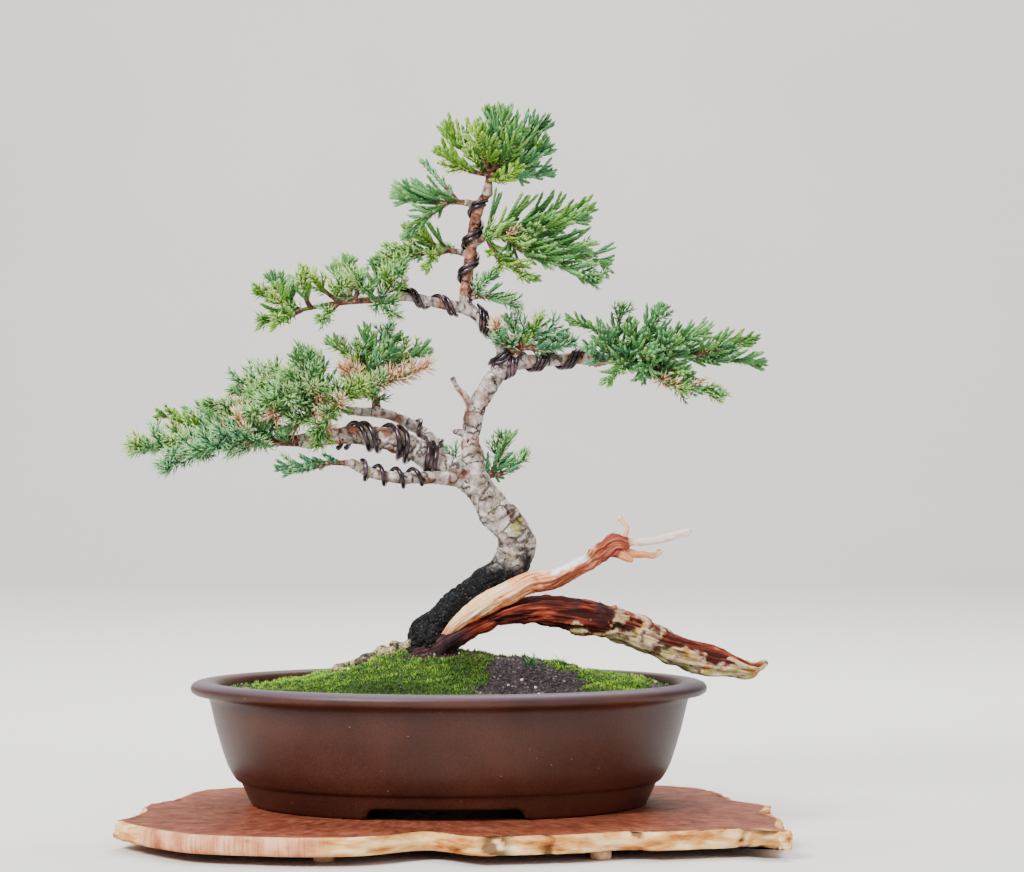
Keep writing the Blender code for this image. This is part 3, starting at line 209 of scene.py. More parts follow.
# Each pad as the length of its bare stub, the radius of its first stem, and its stems: the
# route, the longest side twig, the habit (0 for scale-clad cords, 1 for open awl needles), the
# tone (0 blue-green, 1 yellow-green), the share of dry twigs, and the share that is bare
PADS = {
    "foliage_apex": (3.0, 1.9, (
        (((17.5, -6, 276), (18.5, -8, 286), (19, -9, 298), (18.5, -10, 308)), 16, 0.0, 0.5, 0.02),
        (((18.4, -8, 285), (28, -8, 293), (40, -6, 304)), 17, 0.0, 0.35, 0.0),
        (((18.4, -8, 284), (30, -13, 287), (41, -18, 292)), 17, 0.0, 0.35, 0.0),
        (((18.4, -8, 283), (30, 1, 284), (44, 8, 286)), 14, 0.0, 0.2, 0.0),
        (((18.4, -8, 288), (9, -6, 294), (1, -4, 303)), 13, 0.1, 0.85, 0.0),
        (((18.4, -8, 284), (8, -13, 286), (-2, -18, 292)), 13, 0.15, 1.0, 0.0),
        (((18.4, -8, 287), (20, 6, 292), (24, 20, 301)), 16, 0.0, 0.3, 0.0),
        (((18.4, -8, 287), (16, -20, 292), (13, -33, 299)), 15, 0.1, 0.9, 0.0),
        (((18.4, -8, 286), (25, -18, 290), (30, -27, 298)), 15, 0.0, 0.6, 0.0),
        (((18.4, -8, 286), (22, -14, 296), (25, -18, 306)), 14, 0.0, 0.4, 0.0),
        (((18.4, -8, 282), (24, -16, 281), (30, -24, 284)), 10, 0.2, 1.0, 0.0))),
    "foliage_upper_left": (6.0, 1.6, (
        (((14.5, -6, 271), (4, -8, 272), (-6, -9, 271.5), (-17, -11, 272.5)), 17, 0.0, 0.3, 0.0),
        (((0, -8, 271), (-9, -14, 265), (-16, -17, 258)), 12, 0.0, 0.4, 0.0),
        (((-3, -9, 271), (-12, -3, 275), (-20, 2, 278)), 12, 0.0, 0.15, 0.0),
        (((4, -8, 272), (-3, -3, 281), (-12, 1, 291)), 5, 0.0, 0.1, 0.0))),
    "foliage_middle_left": (5.0, 1.6, (
        (((9.4, -3, 249), (-2, 2, 251), (-14, 6, 251), (-28, 9, 248)), 13, 0.3, 0.7, 0.06),
        (((-3, 2, 251), (-11, -3, 256), (-17, -8, 259)), 10, 0.2, 0.75, 0.06),
        (((0, 1, 250), (-6, -6, 248), (-9, -11, 243)), 8, 0.4, 0.95, 0.25),
        (((-8, 4, 251), (-18, -3, 247), (-29, -8, 246)), 11, 0.4, 0.55, 0.05))),
    "foliage_upper_right": (5.0, 1.8, (
        (((10.3, -4, 253), (22, -6, 259), (40, -3, 263), (58, 1, 267)), 18, 0.12, 0.5, 0.0),
        (((20, -5, 258), (34, 6, 254), (52, 12, 251), (68, 15, 247)), 17, 0.1, 0.35, 0.0),
        (((23, -6, 259), (34, -15, 249), (48, -21, 243), (60, -24, 238)), 17, 0.1, 0.5, 0.0),
        (((18, -5, 257), (22, -12, 247), (34, -18, 238)), 13, 0.3, 0.85, 0.12),
        (((34, -4, 262), (44, -14, 260), (56, -20, 262)), 15, 0.1, 0.55, 0.0),
        (((26, -6, 259), (42, -10, 254), (58, -13, 252)), 15, 0.1, 0.35, 0.0),
        (((12, -4.5, 254), (20, -12, 256), (30, -18, 254)), 9, 0.35, 0.75, 0.3))),
    "foliage_inner_right": (4.5, 1.3, (
        (((7.5, -2, 229), (17, -9, 229), (29, -13, 225)), 11, 0.4, 0.15, 0.03),
        (((10, -4, 229), (15, -10, 234), (19, -13, 238)), 8, 0.5, 0.3, 0.03))),
    "foliage_left_second": (3.0, 1.8, (
        (((-28, -7, 228), (-44, -9, 227), (-62, -11, 224), (-80, -13, 219)), 12, 0.45, 0.72, 0.05, 0.72),
        (((-30, -7, 228), (-32, -3, 235), (-33, 2, 242)), 11, 0.6, 0.37, 0.0, 0.3),
        (((-30, -7, 228), (-27, -13, 233), (-22, -18, 239)), 11, 0.7, 0.67, 0.02, 0.2),
        (((-31, -8, 228), (-30, -18, 226), (-27, -25, 222)), 10, 0.7, 0.42, 0.03, 0.2),
        (((-32, -8, 228), (-37, -16, 231), (-41, -22, 235)), 10, 0.6, 0.52, 0.02, 0.3),
        (((-47, -9, 227), (-49, -4, 235), (-50, 3, 243)), 11, 0.35, 0.42, 0.0, 0.35),
        (((-48, -9, 227), (-55, -14, 231), (-62, -18, 238)), 9, 0.3, 1.0, 0.03, 0.4),
        (((-50, -9, 226), (-50, -19, 229), (-48, -27, 232)), 11, 0.4, 0.62, 0.05, 0.3),
        (((-50, -9, 226), (-53, -15, 222), (-55, -21, 219)), 9, 0.45, 0.52, 0.1, 0.3),
        (((-68, -12, 222), (-72, -6, 229), (-76, 2, 235)), 11, 0.45, 0.57, 0.0, 0.3),
        (((-68, -12, 222), (-74, -20, 226), (-82, -26, 229)), 11, 0.4, 0.97, 0.03, 0.25),
        (((-66, -12, 223), (-70, -21, 220), (-76, -28, 216)), 10, 0.5, 0.82, 0.06, 0.25),
        (((-44, -9, 228), (-45, -15, 236), (-46, -20, 244)), 10, 0.3, 0.52, 0.0, 0.2),
        (((-42, -8, 228), (-41, 0, 235), (-41, 6, 240)), 10, 0.4, 0.92, 0.03, 0.2),
        (((-70, -12, 222), (-74, -15, 229), (-78, -17, 235)), 10, 0.4, 0.42, 0.0, 0.2),
        (((-62, -11, 224), (-64, -15, 228), (-65, -19, 233)), 9, 0.45, 0.72, 0.03, 0.3),
        (((-31, -8, 228), (-28, -11, 235), (-27, -12, 241)), 10, 0.6, 0.47, 0.0, 0.2))),
    "foliage_mid_left": (6.0, 1.8, (
        (((-33, 4.5, 177.2), (-35, 0, 189), (-43, -5, 200), (-51, -8, 207)), 10, 0.8, 0.9, 0.12),
        (((-36, -1, 192), (-26, -6, 199), (-13, -12, 203)), 12, 0.3, 0.5, 0.03),
        (((-36, -1, 192), (-31, -10, 199), (-25, -17, 203)), 11, 0.2, 0.15, 0.0),
        (((-36, -1, 195), (-38, -4, 205), (-37, -6, 212)), 10, 0.3, 0.3, 0.02),
        (((-35, -1, 188), (-26, -14, 191), (-12, -23, 196)), 8, 1.2, 0.5, 1.0),
        (((-36, -1, 193), (-33, 6, 203), (-29, 10, 213)), 13, 0.25, 0.15, 0.02),
        (((-36, -1, 193), (-31, -7, 203), (-24, -9, 209)), 11, 0.15, 0.35, 0.02),
        (((-37, 0, 183), (-40, -9, 187), (-44, -13, 193)), 9, 0.9, 0.85, 0.1),
        (((-35, 2, 182), (-34, -9, 185), (-31, -15, 190)), 8, 0.8, 0.5, 0.1))),
    "foliage_left_ridge": (3.0, 2.0, (
        (((-51, -5, 179.5), (-62, -6, 187), (-76, -5, 190), (-96, -3, 187)), 15, 0.75, 0.5, 0.06),
        (((-57, -6, 184), (-63, -20, 186), (-76, -34, 182)), 14, 0.8, 0.5, 0.1),
        (((-60, -6, 186), (-68, 9, 190), (-80, 24, 187)), 14, 0.7, 0.35, 0.03),
        (((-56, -6, 184), (-59, 2, 195), (-63, 6, 201)), 11, 0.3, 0.3, 0.0),
        (((-56, -6, 183), (-50, -20, 179), (-55, -31, 170)), 10, 0.85, 0.65, 0.3),
        (((-55, -6, 182), (-47, -14, 184), (-40, -20, 187)), 9, 0.9, 0.8, 0.1),
        (((-60, -8, 186), (-70, -22, 180), (-84, -30, 176)), 13, 0.85, 0.4, 0.1),
        (((-64, -8, 187), (-78, -14, 182), (-93, -18, 180)), 14, 0.8, 0.6, 0.06),
        (((-58, -6, 184), (-62, -18, 177), (-70, -27, 170)), 11, 0.9, 0.55, 0.12),
        (((-60, -8, 187), (-63, -14, 195), (-66, -20, 201)), 11, 0.75, 0.55, 0.04),
        (((-64, -9, 186), (-70, -17, 180), (-77, -21, 173)), 10, 0.85, 0.4, 0.03),
        (((-60, -8, 184), (-61, -15, 177), (-67, -19, 171)), 9, 0.85, 0.5, 0.1),
        (((-58, -6, 183), (-55, -18, 173), (-57, -26, 164)), 9, 0.9, 0.7, 0.5))),
    "foliage_left_tip": (3.0, 3.0, (
        (((-62, -16, 164), (-84, -18, 164), (-110, -20, 163), (-137, -22, 160)), 15, 0.85, 0.35, 0.1),
        (((-80, -17, 164), (-90, -32, 163), (-106, -44, 160)), 15, 0.9, 0.3, 0.1),
        (((-84, -18, 164), (-94, -6, 170), (-114, 5, 176)), 15, 0.85, 0.45, 0.05),
        (((-98, -19, 164), (-110, -31, 158), (-120, -39, 154)), 13, 1.0, 0.1, 0.06),
        (((-84, -18, 164), (-92, -22, 172), (-102, -26, 179)), 13, 0.8, 0.5, 0.22),
        (((-104, -20, 163), (-114, -22, 171), (-126, -24, 175)), 10, 0.2, 0.85, 0.06),
        (((-112, -20, 163), (-122, -30, 162), (-134, -38, 161)), 11, 0.9, 0.5, 0.06))),
    "foliage_left_under": (3.0, 1.4, (
        (((-43, -25, 154), (-54, -33, 154), (-72, -42, 152)), 11, 0.2, 0.1, 0.0),
        (((-52, -32, 154), (-60, -28, 152), (-70, -26, 150)), 9, 0.2, 0.05, 0.0))),
    "foliage_right_inner": (6.0, 1.5, (
        (((29, 5.5, 199), (31, 0, 208), (28, -6, 217)), 10, 0.5, 0.3, 0.03),
        (((31, 0, 208), (39, -6, 212), (49, -9, 212)), 11, 0.5, 0.15, 0.03),
        (((30, 3, 204), (36, -4, 210), (40, -8, 217)), 7, 0.5, 0.95, 0.25),
        (((30, 3, 204), (24, -3, 210), (22, -8, 214)), 9, 0.5, 0.2, 0.03),
        (((31, 0, 206), (44, -5, 206), (54, -9, 208)), 9, 0.5, 0.1, 0.03))),
    "foliage_right_pad": (3.0, 2.4, (
        (((67, 10, 201), (86, 10, 203), (110, 8, 203), (136, 4, 200)), 18, 0.05, 0.35, 0.02),
        (((78, 10, 202), (88, -2, 196), (102, -11, 190), (116, -17, 186)), 15, 0.2, 0.35, 0.14),
        (((80, 10, 202), (91, 22, 206), (108, 31, 205)), 15, 0.1, 0.2, 0.0),
        (((74, 10, 202), (76, 4, 212), (78, 0, 221)), 11, 0.3, 0.3, 0.0, 0.35),
        (((86, 10, 203), (91, 3, 212), (95, -1, 221)), 12, 0.3, 0.35, 0.0, 0.35),
        (((92, 10, 203), (102, 2, 209), (112, -4, 212)), 14, 0.0, 0.3, 0.0),
        (((76, 10, 202), (81, -6, 203), (90, -24, 203)), 15, 0.05, 0.3, 0.0),
        (((76, 7, 209), (67, 1, 214), (56, -3, 219)), 9, 0.1, 0.4, 0.0),
        (((74, 8, 203), (68, -4, 201), (64, -13, 204)), 12, 0.05, 0.2, 0.0),
        (((84, 8, 203), (80, -12, 198), (74, -20, 193)), 13, 0.0, 0.4, 0.0),
        (((96, 8, 204), (92, -12, 200), (88, -22, 194)), 14, 0.0, 0.35, 0.0),
        (((112, 8, 203), (120, -4, 206), (132, -10, 208)), 14, 0.0, 0.4, 0.0),
        (((88, 8, 203), (84, -6, 208), (82, -16, 213)), 12, 0.05, 0.35, 0.0),
        (((90, 6, 200), (96, -10, 192), (103, -17, 188)), 7, 0.95, 0.6, 0.6),
        (((100, 7, 203), (98, -8, 205), (98, -20, 207)), 13, 0.05, 0.3, 0.0),
        (((78, 8, 203), (72, -8, 206), (70, -18, 210)), 11, 0.05, 0.25, 0.0),
        (((92, 8, 203), (98, -6, 198), (104, -16, 195)), 13, 0.0, 0.3, 0.0))),
    "foliage_behind_trunk": (7.0, 1.4, (
        (((14, -1, 144), (20, 11, 151), (26, 18, 165)), 12, 0.5, 0.3, 0.03),
        (((18, 7, 148), (26, 12, 150), (32, 14, 155)), 9, 0.6, 0.2, 0.03))),
    "foliage_behind_fork": (9.0, 1.4, (
        (((8, 0, 149), (2, 14, 156), (-6, 24, 160)), 10, 0.5, 0.1, 0.03),)),
}
STEM_RADIUS, STEM_TIP_RADIUS = 1.3, 0.6
PAD_MARGIN = 2.0

# Spacing of twigs on a stem for cords and for awl needles, of the needles' whorls on a twig,
# and of the cracks across and along the bark, all in mm
TWIG_SPACING = (2.2, 2.5)
WHORL_SPACING = 1.7
RING_CRACK_SPACING, FISSURE_SPACING = 8.2, 5.0

# Step from a twig to the next round its stem, as a share of the range that twigs grow in, and
# the mm of dead wood along which the grain twists by a radian
GOLDEN_SHARE = 0.618
GRAIN_TWIST = 60.0

# Gap between a wire and the bark in mm, and how many places are tried for moss and for grit
WIRE_GAP = 0.35
MOSS_STEMS_TRIED, GRIT_GRAINS_TRIED = 29000, 8200

# The camera's place in metres, and its sensor width, lens length and upward shift
CAMERA_PLACE = (0.0271, -1.2199, 0.164)
SENSOR_WIDTH, LENS_LENGTH, VIEW_SHIFT = 36.0, 95.6, 33 / 1024

# Soft lights as (name, place, size, power, target), in metres and watts
LIGHTS = (
    ("key", (-0.8, -1.1, 1.15), 0.6, 52.0, (0.0, 0.0, 0.14)),
    ("fill", (1.0, -1.0, 0.6), 0.9, 6.0, (0.0, 0.0, 0.14)),
    ("top", (0.2, 0.6, 1.3), 0.8, 20.0, (0.0, 0.0, 0.14)),
    ("backdrop", (0.0, 0.6, 2.6), 1.6, 170.0, (0.0, 4.1, 1.0)))


def unit(vectors):
    """Vectors along the last axis, each divided by its length."""
    return vectors / np.linalg.norm(vectors, axis=-1, keepdims=True)


def ripples(points, wavelength, seed, waves=20):
    """Smooth noise of about -1 to 1: the sum of sine waves in seeded directions and phases, each
    0.7 to 1.5 of the wavelength long, over the spread that such a sum has."""
    rng = np.random.default_rng(seed)
    directions = unit(rng.normal(size=(waves, 3)))
    lengths = wavelength * rng.uniform(0.7, 1.5, waves)
    angles = points @ (directions.T * TURN / lengths) + rng.uniform(0, TURN, waves)
    return np.sin(angles).sum(axis=-1) / np.sqrt(waves)


def turned(angle, side, above):
    """Directions at an angle round an axis: side cos angle + above sin angle."""
    return np.cos(angle)[:, None] * side + np.sin(angle)[:, None] * above


def repeated(shape, corners, count):
    """The faces of a small shape with that many corners, renumbered for each of its copies."""
    return (shape[None, :, :] + corners * np.arange(count)[:, None, None]).reshape(-1, 3)


def rise(values, low, high):
    """0 below low, 1 above high, and between them 3t2 - 2t3 of the share t."""
    t = np.clip((values - low) / (high - low), 0.0, 1.0)
    return t * t * (3 - 2 * t)


def smooth_route(points, step):
    """Catmull-Rom curve through points of any number of values, read about every step mm."""
    knots = [np.array(point, dtype=float) for point in points]
    route = []
    for k in range(len(knots) - 1):
        before, start, end = knots[max(k - 1, 0)], knots[k], knots[k + 1]
        after = knots[min(k + 2, len(knots) - 1)]
        count = max(1, round(float(np.linalg.norm((end - start)[:3])) / step))
        t = (np.arange(count) / count)[:, None]
        route.append(0.5 * (2 * start + (end - before) * t
                            + (2 * before - 5 * start + 4 * end - after) * t ** 2
                            + (3 * start - before - 3 * end + after) * t ** 3))
    return np.concatenate(route + [knots[-1][None, :]])


def distances(route):
    """Length along a route at each of its points."""
    return np.concatenate(([0.0], np.cumsum(np.linalg.norm(np.diff(route[:, :3], axis=0), axis=1))))


def read_route(route, places):
    """The route's values at given lengths along it."""
    along = distances(route)
    return np.stack([np.interp(places, along, route[:, k]) for k in range(route.shape[1])], axis=1)


def turn_frames(route):
    """Tangent and two cross directions along a route, turned as little as possible."""
    tangents = unit(np.gradient(route[:, :3], axis=0))
    side = np.cross(tangents[0], UP)
    if np.linalg.norm(side) < 0.1:
        side = np.array((1.0, 0.0, 0.0))
    across = []
    for tangent in tangents:
        side = unit(side - tangent * side.dot(tangent))
        across.append(side)
    across = np.array(across)
    return tangents, across, np.cross(tangents, across)


def grid_faces(rows, columns, first=0):
    """Quads of a grid of points that is closed in its second direction."""
    row = np.arange(rows - 1)[:, None] * columns
    here = np.arange(columns)[None, :]
    ahead = (here + 1) % columns
    return first + np.stack((row + here, row + ahead, row + columns + ahead, row + columns + here),
                            axis=-1).reshape(-1, 4)


def fan_faces(columns, ring, pole, outward):
    """Triangles from a ring of points, whose first number is given, to a pole."""
    here = ring + np.arange(columns)
    ahead = ring + (np.arange(columns) + 1) % columns
    poles = np.full(columns, pole)
    return np.stack((here, ahead, poles) if outward else (ahead, here, poles), axis=-1)


def closed_grid(grid, low_pole, high_pole):
    """A surface from a grid of rings, with a pole closing each end; a ring's order is
    anticlockwise seen from the high pole."""
    rows, columns, _ = grid.shape
    count = rows * columns
    points = np.concatenate((grid.reshape(-1, 3), low_pole[None, :], high_pole[None, :]))
    return points, [grid_faces(rows, columns),
                    np.concatenate((fan_faces(columns, 0, count, False),
                                    fan_faces(columns, count - columns, count + 1, True)))]


def swept(route, sides, relief=None, dome=0.7, dome_rows=4, squash=1.0):
    """Surface round a route of (x, y, z, radius) rows.

    A ring's point stands at the radius times (cos a across + squash sin a upward) from the
    route, and relief(points, along, angle, radius) gives the millimetres to add outwards. Both
    ends close in a dome, where the radius falls as the cosine and the centre moves on as the
    sine of an angle from 0 to 90 degrees. Gives points, faces and for each point its length
    along, angle and relief.
    """
    tangents, across, upward = turn_frames(route)
    along = distances(route)
    phi = np.linspace(0, np.pi / 2, dome_rows + 1)[1:-1]
    first, last = route[0, 3], route[-1, 3]
    centres = np.concatenate((route[0, :3] - tangents[0] * (first * dome * np.sin(phi[::-1]))[:, None],
                              route[:, :3],
                              route[-1, :3] + tangents[-1] * (last * dome * np.sin(phi))[:, None]))
    radii = np.concatenate((first * np.cos(phi[::-1]), route[:, 3], last * np.cos(phi)))
    fade = np.concatenate((np.cos(phi[::-1]), np.ones(len(route)), np.cos(phi)))[:, None]
    pick = np.clip(np.arange(-len(phi), len(route) + len(phi)), 0, len(route) - 1)
    angle = np.linspace(0, TURN, sides, endpoint=False)
    outward = (np.cos(angle)[None, :, None] * across[pick][:, None, :]
               + squash * np.sin(angle)[None, :, None] * upward[pick][:, None, :])
    grid = centres[:, None, :] + radii[:, None, None] * outward
    shape = grid.shape[:2]
    lengths = np.broadcast_to(along[pick][:, None], shape)
    angles = np.broadcast_to(angle[None, :], shape)
    extra = np.zeros(shape)
    if relief is not None:
        extra = relief(grid, lengths, angles, np.broadcast_to(route[pick, 3][:, None], shape)) * fade
        grid = grid + extra[:, :, None] * outward
    points, faces = closed_grid(grid, route[0, :3] - tangents[0] * first * dome,
                                route[-1, :3] + tangents[-1] * last * dome)
    ends = np.array((0.0, along[-1])), np.zeros(2), np.zeros(2)
    values = [np.concatenate((field.ravel(), end)) for field, end in zip((lengths, angles, extra), ends)]
    return points, faces, values


def merge(surfaces):
    """Several surfaces as one: points and values joined, and each group of faces renumbered."""
    first, points, faces, values = 0, [], {}, []
    for surface in surfaces:
        points.append(surface[0])
        for group in surface[1]:
            faces.setdefault(group.shape[1], []).append(group + first)
        values.append(surface[2])
        first += len(surface[0])
    joined = [np.concatenate(fields) for fields in zip(*values)]
    return np.concatenate(points), [np.concatenate(groups) for groups in faces.values()], joined


def new_piece(name, points, faces, material, smooth=True, fields=None):
    """An object from points in the pot's millimetres, groups of faces and fields on its points."""
    mesh = bpy.data.meshes.new(name)
    mesh.vertices.add(len(points))
    mesh.vertices.foreach_set("co", ((points + POT_CENTRE) * MM).astype(np.float32).ravel())
    corners = np.concatenate([group.ravel() for group in faces]).astype(np.int32)
    sizes = np.concatenate([np.full(len(group), group.shape[1]) for group in faces])
    mesh.loops.add(len(corners))
    mesh.loops.foreach_set("vertex_index", corners)
    mesh.polygons.add(len(sizes))
    mesh.polygons.foreach_set("loop_start", (np.cumsum(sizes) - sizes).astype(np.int32))
    mesh.polygons.foreach_set("use_smooth", np.full(len(sizes), smooth))
    for key, field in (fields or {}).items():
        field = np.asarray(field, dtype=np.float32)
        if field.ndim == 1:
            mesh.attributes.new(key, "FLOAT", "POINT").data.foreach_set("value", field)
        else:
            mesh.attributes.new(key, "FLOAT_VECTOR", "POINT").data.foreach_set("vector", field.ravel())
    mesh.update(calc_edges=True)
    mesh.validate()
    mesh.materials.append(material)
    piece = bpy.data.objects.new(name, mesh)
    bpy.context.scene.collection.objects.link(piece)
    return piece


def settle(piece, slot, *nodes):
    """Attach a finished piece to the root body and hide the nodes that it stands for; the slot is not used.
    """
    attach(piece, "root")
    if nodes:
        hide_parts(*nodes)
    return piece


def paint(code):
    """An sRGB hex colour as linear red, green, blue and alpha."""
    values = np.array([int(code[k:k + 2], 16) for k in (1, 3, 5)]) / 255
    linear = np.where(values <= 0.04045, values / 12.92, ((values + 0.055) / 1.055) ** 2.4)
    return (*linear.tolist(), 1.0)


def add_node(tree, kind, inputs=None, stops=None, take=0, **settings):
    """Add a node and give the output that take names. inputs are its sockets' values, hex colours
    or the outputs that link to them, stops are a colour ramp's places with hex colours, and
    settings are its properties. Sockets go by number: in a Mix node 0 is the share, 2 and 3 the
    two numbers and 6 and 7 the two colours, and in a Map Range node 0 is the value, 1 and 2 where
    it comes from and 3 and 4 where it goes to."""
    node = tree.nodes.new("ShaderNode" + kind)
    for key, value in settings.items():
        setattr(node, key, value)
    for index, (place, code) in enumerate((stops or {}).items()):
        elements = node.color_ramp.elements
        stop = elements[index] if index < 2 else elements.new(place)
        stop.position = place
        stop.color = paint(code)
    for key, value in (inputs or {}).items():
        if isinstance(value, bpy.types.NodeSocket):
            tree.links.new(value, node.inputs[key])
        else:
            node.inputs[key].default_value = paint(value) if isinstance(value, str) else value
    return node.outputs[take]


def new_material(name, roughness=0.5, specular=0.5, metallic=0.0):
    """A material with the values that are the same all over set on its shader's own sockets, and
    the function that adds nodes to it."""
    material = bpy.data.materials.new(name)
    material.use_nodes = True
    sockets = material.node_tree.nodes["Principled BSDF"].inputs
    sockets["Roughness"].default_value = roughness
    sockets["Specular IOR Level"].default_value = specular
    sockets["Metallic"].default_value = metallic
    return material, partial(add_node, material.node_tree)


def finish(material, colour, layers=(), height=None, depth_mm=0.2, roughness=None):
    """Lay colours over a first one in turn, each given as its share and itself, and link the
    result, a height for bumps of a depth in millimetres and a roughness to the shader."""
    tree = material.node_tree
    sockets = tree.nodes["Principled BSDF"].inputs
    for share, over in layers:
        colour = add_node(tree, "Mix", {0: share, 6: colour, 7: over}, take=2, data_type="RGBA")
    tree.links.new(colour, sockets["Base Color"])
    if roughness is not None:
        tree.links.new(roughness, sockets["Roughness"])
    if height is not None:
        bump = {"Height": height, "Distance": depth_mm * MM, "Strength": BUMP_STRENGTH}
        tree.links.new(add_node(tree, "Bump", bump), sockets["Normal"])
    return material


def per_metre(size_mm):
    """Scale of a pattern on Object coordinates, from the size of its features."""
    return 1000.0 / size_mm


def channels(add, name):
    """The three channels of a field of vectors that the mesh holds on its points."""
    return add("SeparateXYZ", {0: add("Attribute", take="Vector", attribute_name=name)}, take=slice(0, 3))


def grain_noise(add, length_mm, width_mm, detail=5.0):
    """Noise stretched along a route: its features have that length along it and width across."""
    grain = add("Attribute", take="Vector", attribute_name="grain")
    flat = add("VectorMath", {0: grain, 1: (1 / length_mm, 1 / width_mm, 0.0)}, operation="MULTIPLY")
    return add("TexNoise", {"Vector": flat, "Scale": 1.0, "Detail": detail, "Roughness": 0.6})


def bark_material():
    """Juniper bark: thin grey papery plates that flake off a red-brown underbark, so pale and
    matte with dark cracks between them; where the foot is kept wet it is black with pale specks."""
    material, add = new_material("flaking_juniper_bark", specular=0.12)
    place = add("TexCoord", take="Object")
    wetness, redness, lichen = channels(add, "look")
    plates = add("TexNoise", {"Vector": place, "Scale": per_metre(5.0), "Detail": 6.0, "Roughness": 0.62})
    (speck, speck_hue), (patch, patch_hue) = (
        add("TexNoise", {"Vector": place, "Scale": per_metre(size_mm), "Detail": 4.0, "Roughness": 0.6},
            take=slice(0, 2)) for size_mm in (0.9, 5.5))
    dry, reds, wet, tan = (add("ValToRGB", {0: noise}, stops=stops) for noise, stops in (
        (plates, {0.3: "#675a51", 0.41: "#988a81", 0.52: "#b5a9a2", 0.64: "#dad3cf"}),
        (plates, {0.35: "#43231b", 0.48: "#80452f", 0.58: "#a9674b", 0.7: "#cf9a80"}),
        (speck, {0.42: "#070708", 0.56: "#141315", 0.64: "#2b2a2d", 0.74: "#85858a"}),
        (speck, {0.36: "#5f4a35", 0.48: "#a08a66", 0.62: "#d8c6a2"})))
    root = add("MapRange", {0: redness, 1: -0.2, 2: -0.8})
    red = add("Math", {0: patch, 1: redness}, operation="MULTIPLY")
    red = add("MapRange", {0: red, 1: 0.19, 2: 0.38, 4: 0.9})
    green = add("Math", {0: speck, 1: lichen}, operation="MULTIPLY")
    green = add("MapRange", {0: green, 1: 0.15, 2: 0.5})
    skin = add("Attribute", take="Vector", attribute_name="skin")
    cells = add("VectorMath", {0: skin, 1: (1 / 5.5, 1 / 12.0, 1 / 12.0)}, operation="MULTIPLY")
    for hue, shift in ((speck_hue, (0.35, 0.1, 0.1)), (patch_hue, (0.5, 0.7, 0.7))):
        cells = add("VectorMath", {0: hue, 1: shift, 2: cells}, operation="MULTIPLY_ADD")
    net = add("TexVoronoi", {"Vector": cells, "Scale": 1.0, "Randomness": 0.85}, feature="DISTANCE_TO_EDGE")
    fine = add("MapRange", {0: net, 1: 0.09, 2: 0.03})
    shown = add("MapRange", {0: patch, 1: 0.42, 2: 0.6, 3: 0.9, 4: 0.25})
    fine = add("Math", {0: fine, 1: shown}, operation="MULTIPLY")
    deep = add("MapRange", {0: add("Attribute", take="Fac", attribute_name="crack"), 1: 0.25, 2: 0.8})
    crack = add("Math", {0: fine, 1: deep}, operation="MAXIMUM")
    height = add("Math", {0: speck, 1: plates}, operation="ADD")
    height = add("Math", {0: height, 1: crack}, operation="SUBTRACT")
    rough = add("MapRange", {0: wetness, 3: 0.88, 4: 0.55})
    return finish(material, dry, ((root, tan), (red, reds), (green, "#86823f"), (crack, "#2a1a15"),
                                  (wetness, wet)), height, 0.35, rough)


def jin_material():
    """Stripped juniper sapwood: the bark is torn off and the wood bleached, so cream with long
    fibres, orange where the heartwood comes near, a painted white highlight on top, and painted shade below."""
    material, add = new_material("stripped_juniper_sapwood", 0.62, 0.15)
    # Look: a painted white highlight on top, orange that is partly painted shade below, and brown knots with
    # painted shade on the underside
    painted_highlight, orange_and_painted_shade, knots = channels(add, "look")
    fibres = grain_noise(add, 14.0, 0.9)
    cream, orange, white, brown = (add("ValToRGB", {0: fibres}, stops=stops) for stops in (
        {0.3: "#dc8a50", 0.4: "#f9b478", 0.5: "#fdd3a0", 0.64: "#fff2dc"},
        {0.3: "#83351f", 0.42: "#cf7042", 0.53: "#f3a16c", 0.7: "#fdcf9e"},
        {0.34: "#a9adb8", 0.48: "#e6e9f1", 0.6: "#fbfcff"},
        {0.3: "#43170f", 0.44: "#7b3626", 0.56: "#a55640", 0.7: "#d08b6c"}))
    return finish(material, cream, ((orange_and_painted_shade, orange), (painted_highlight, white), (knots, brown)), fibres, 0.35)


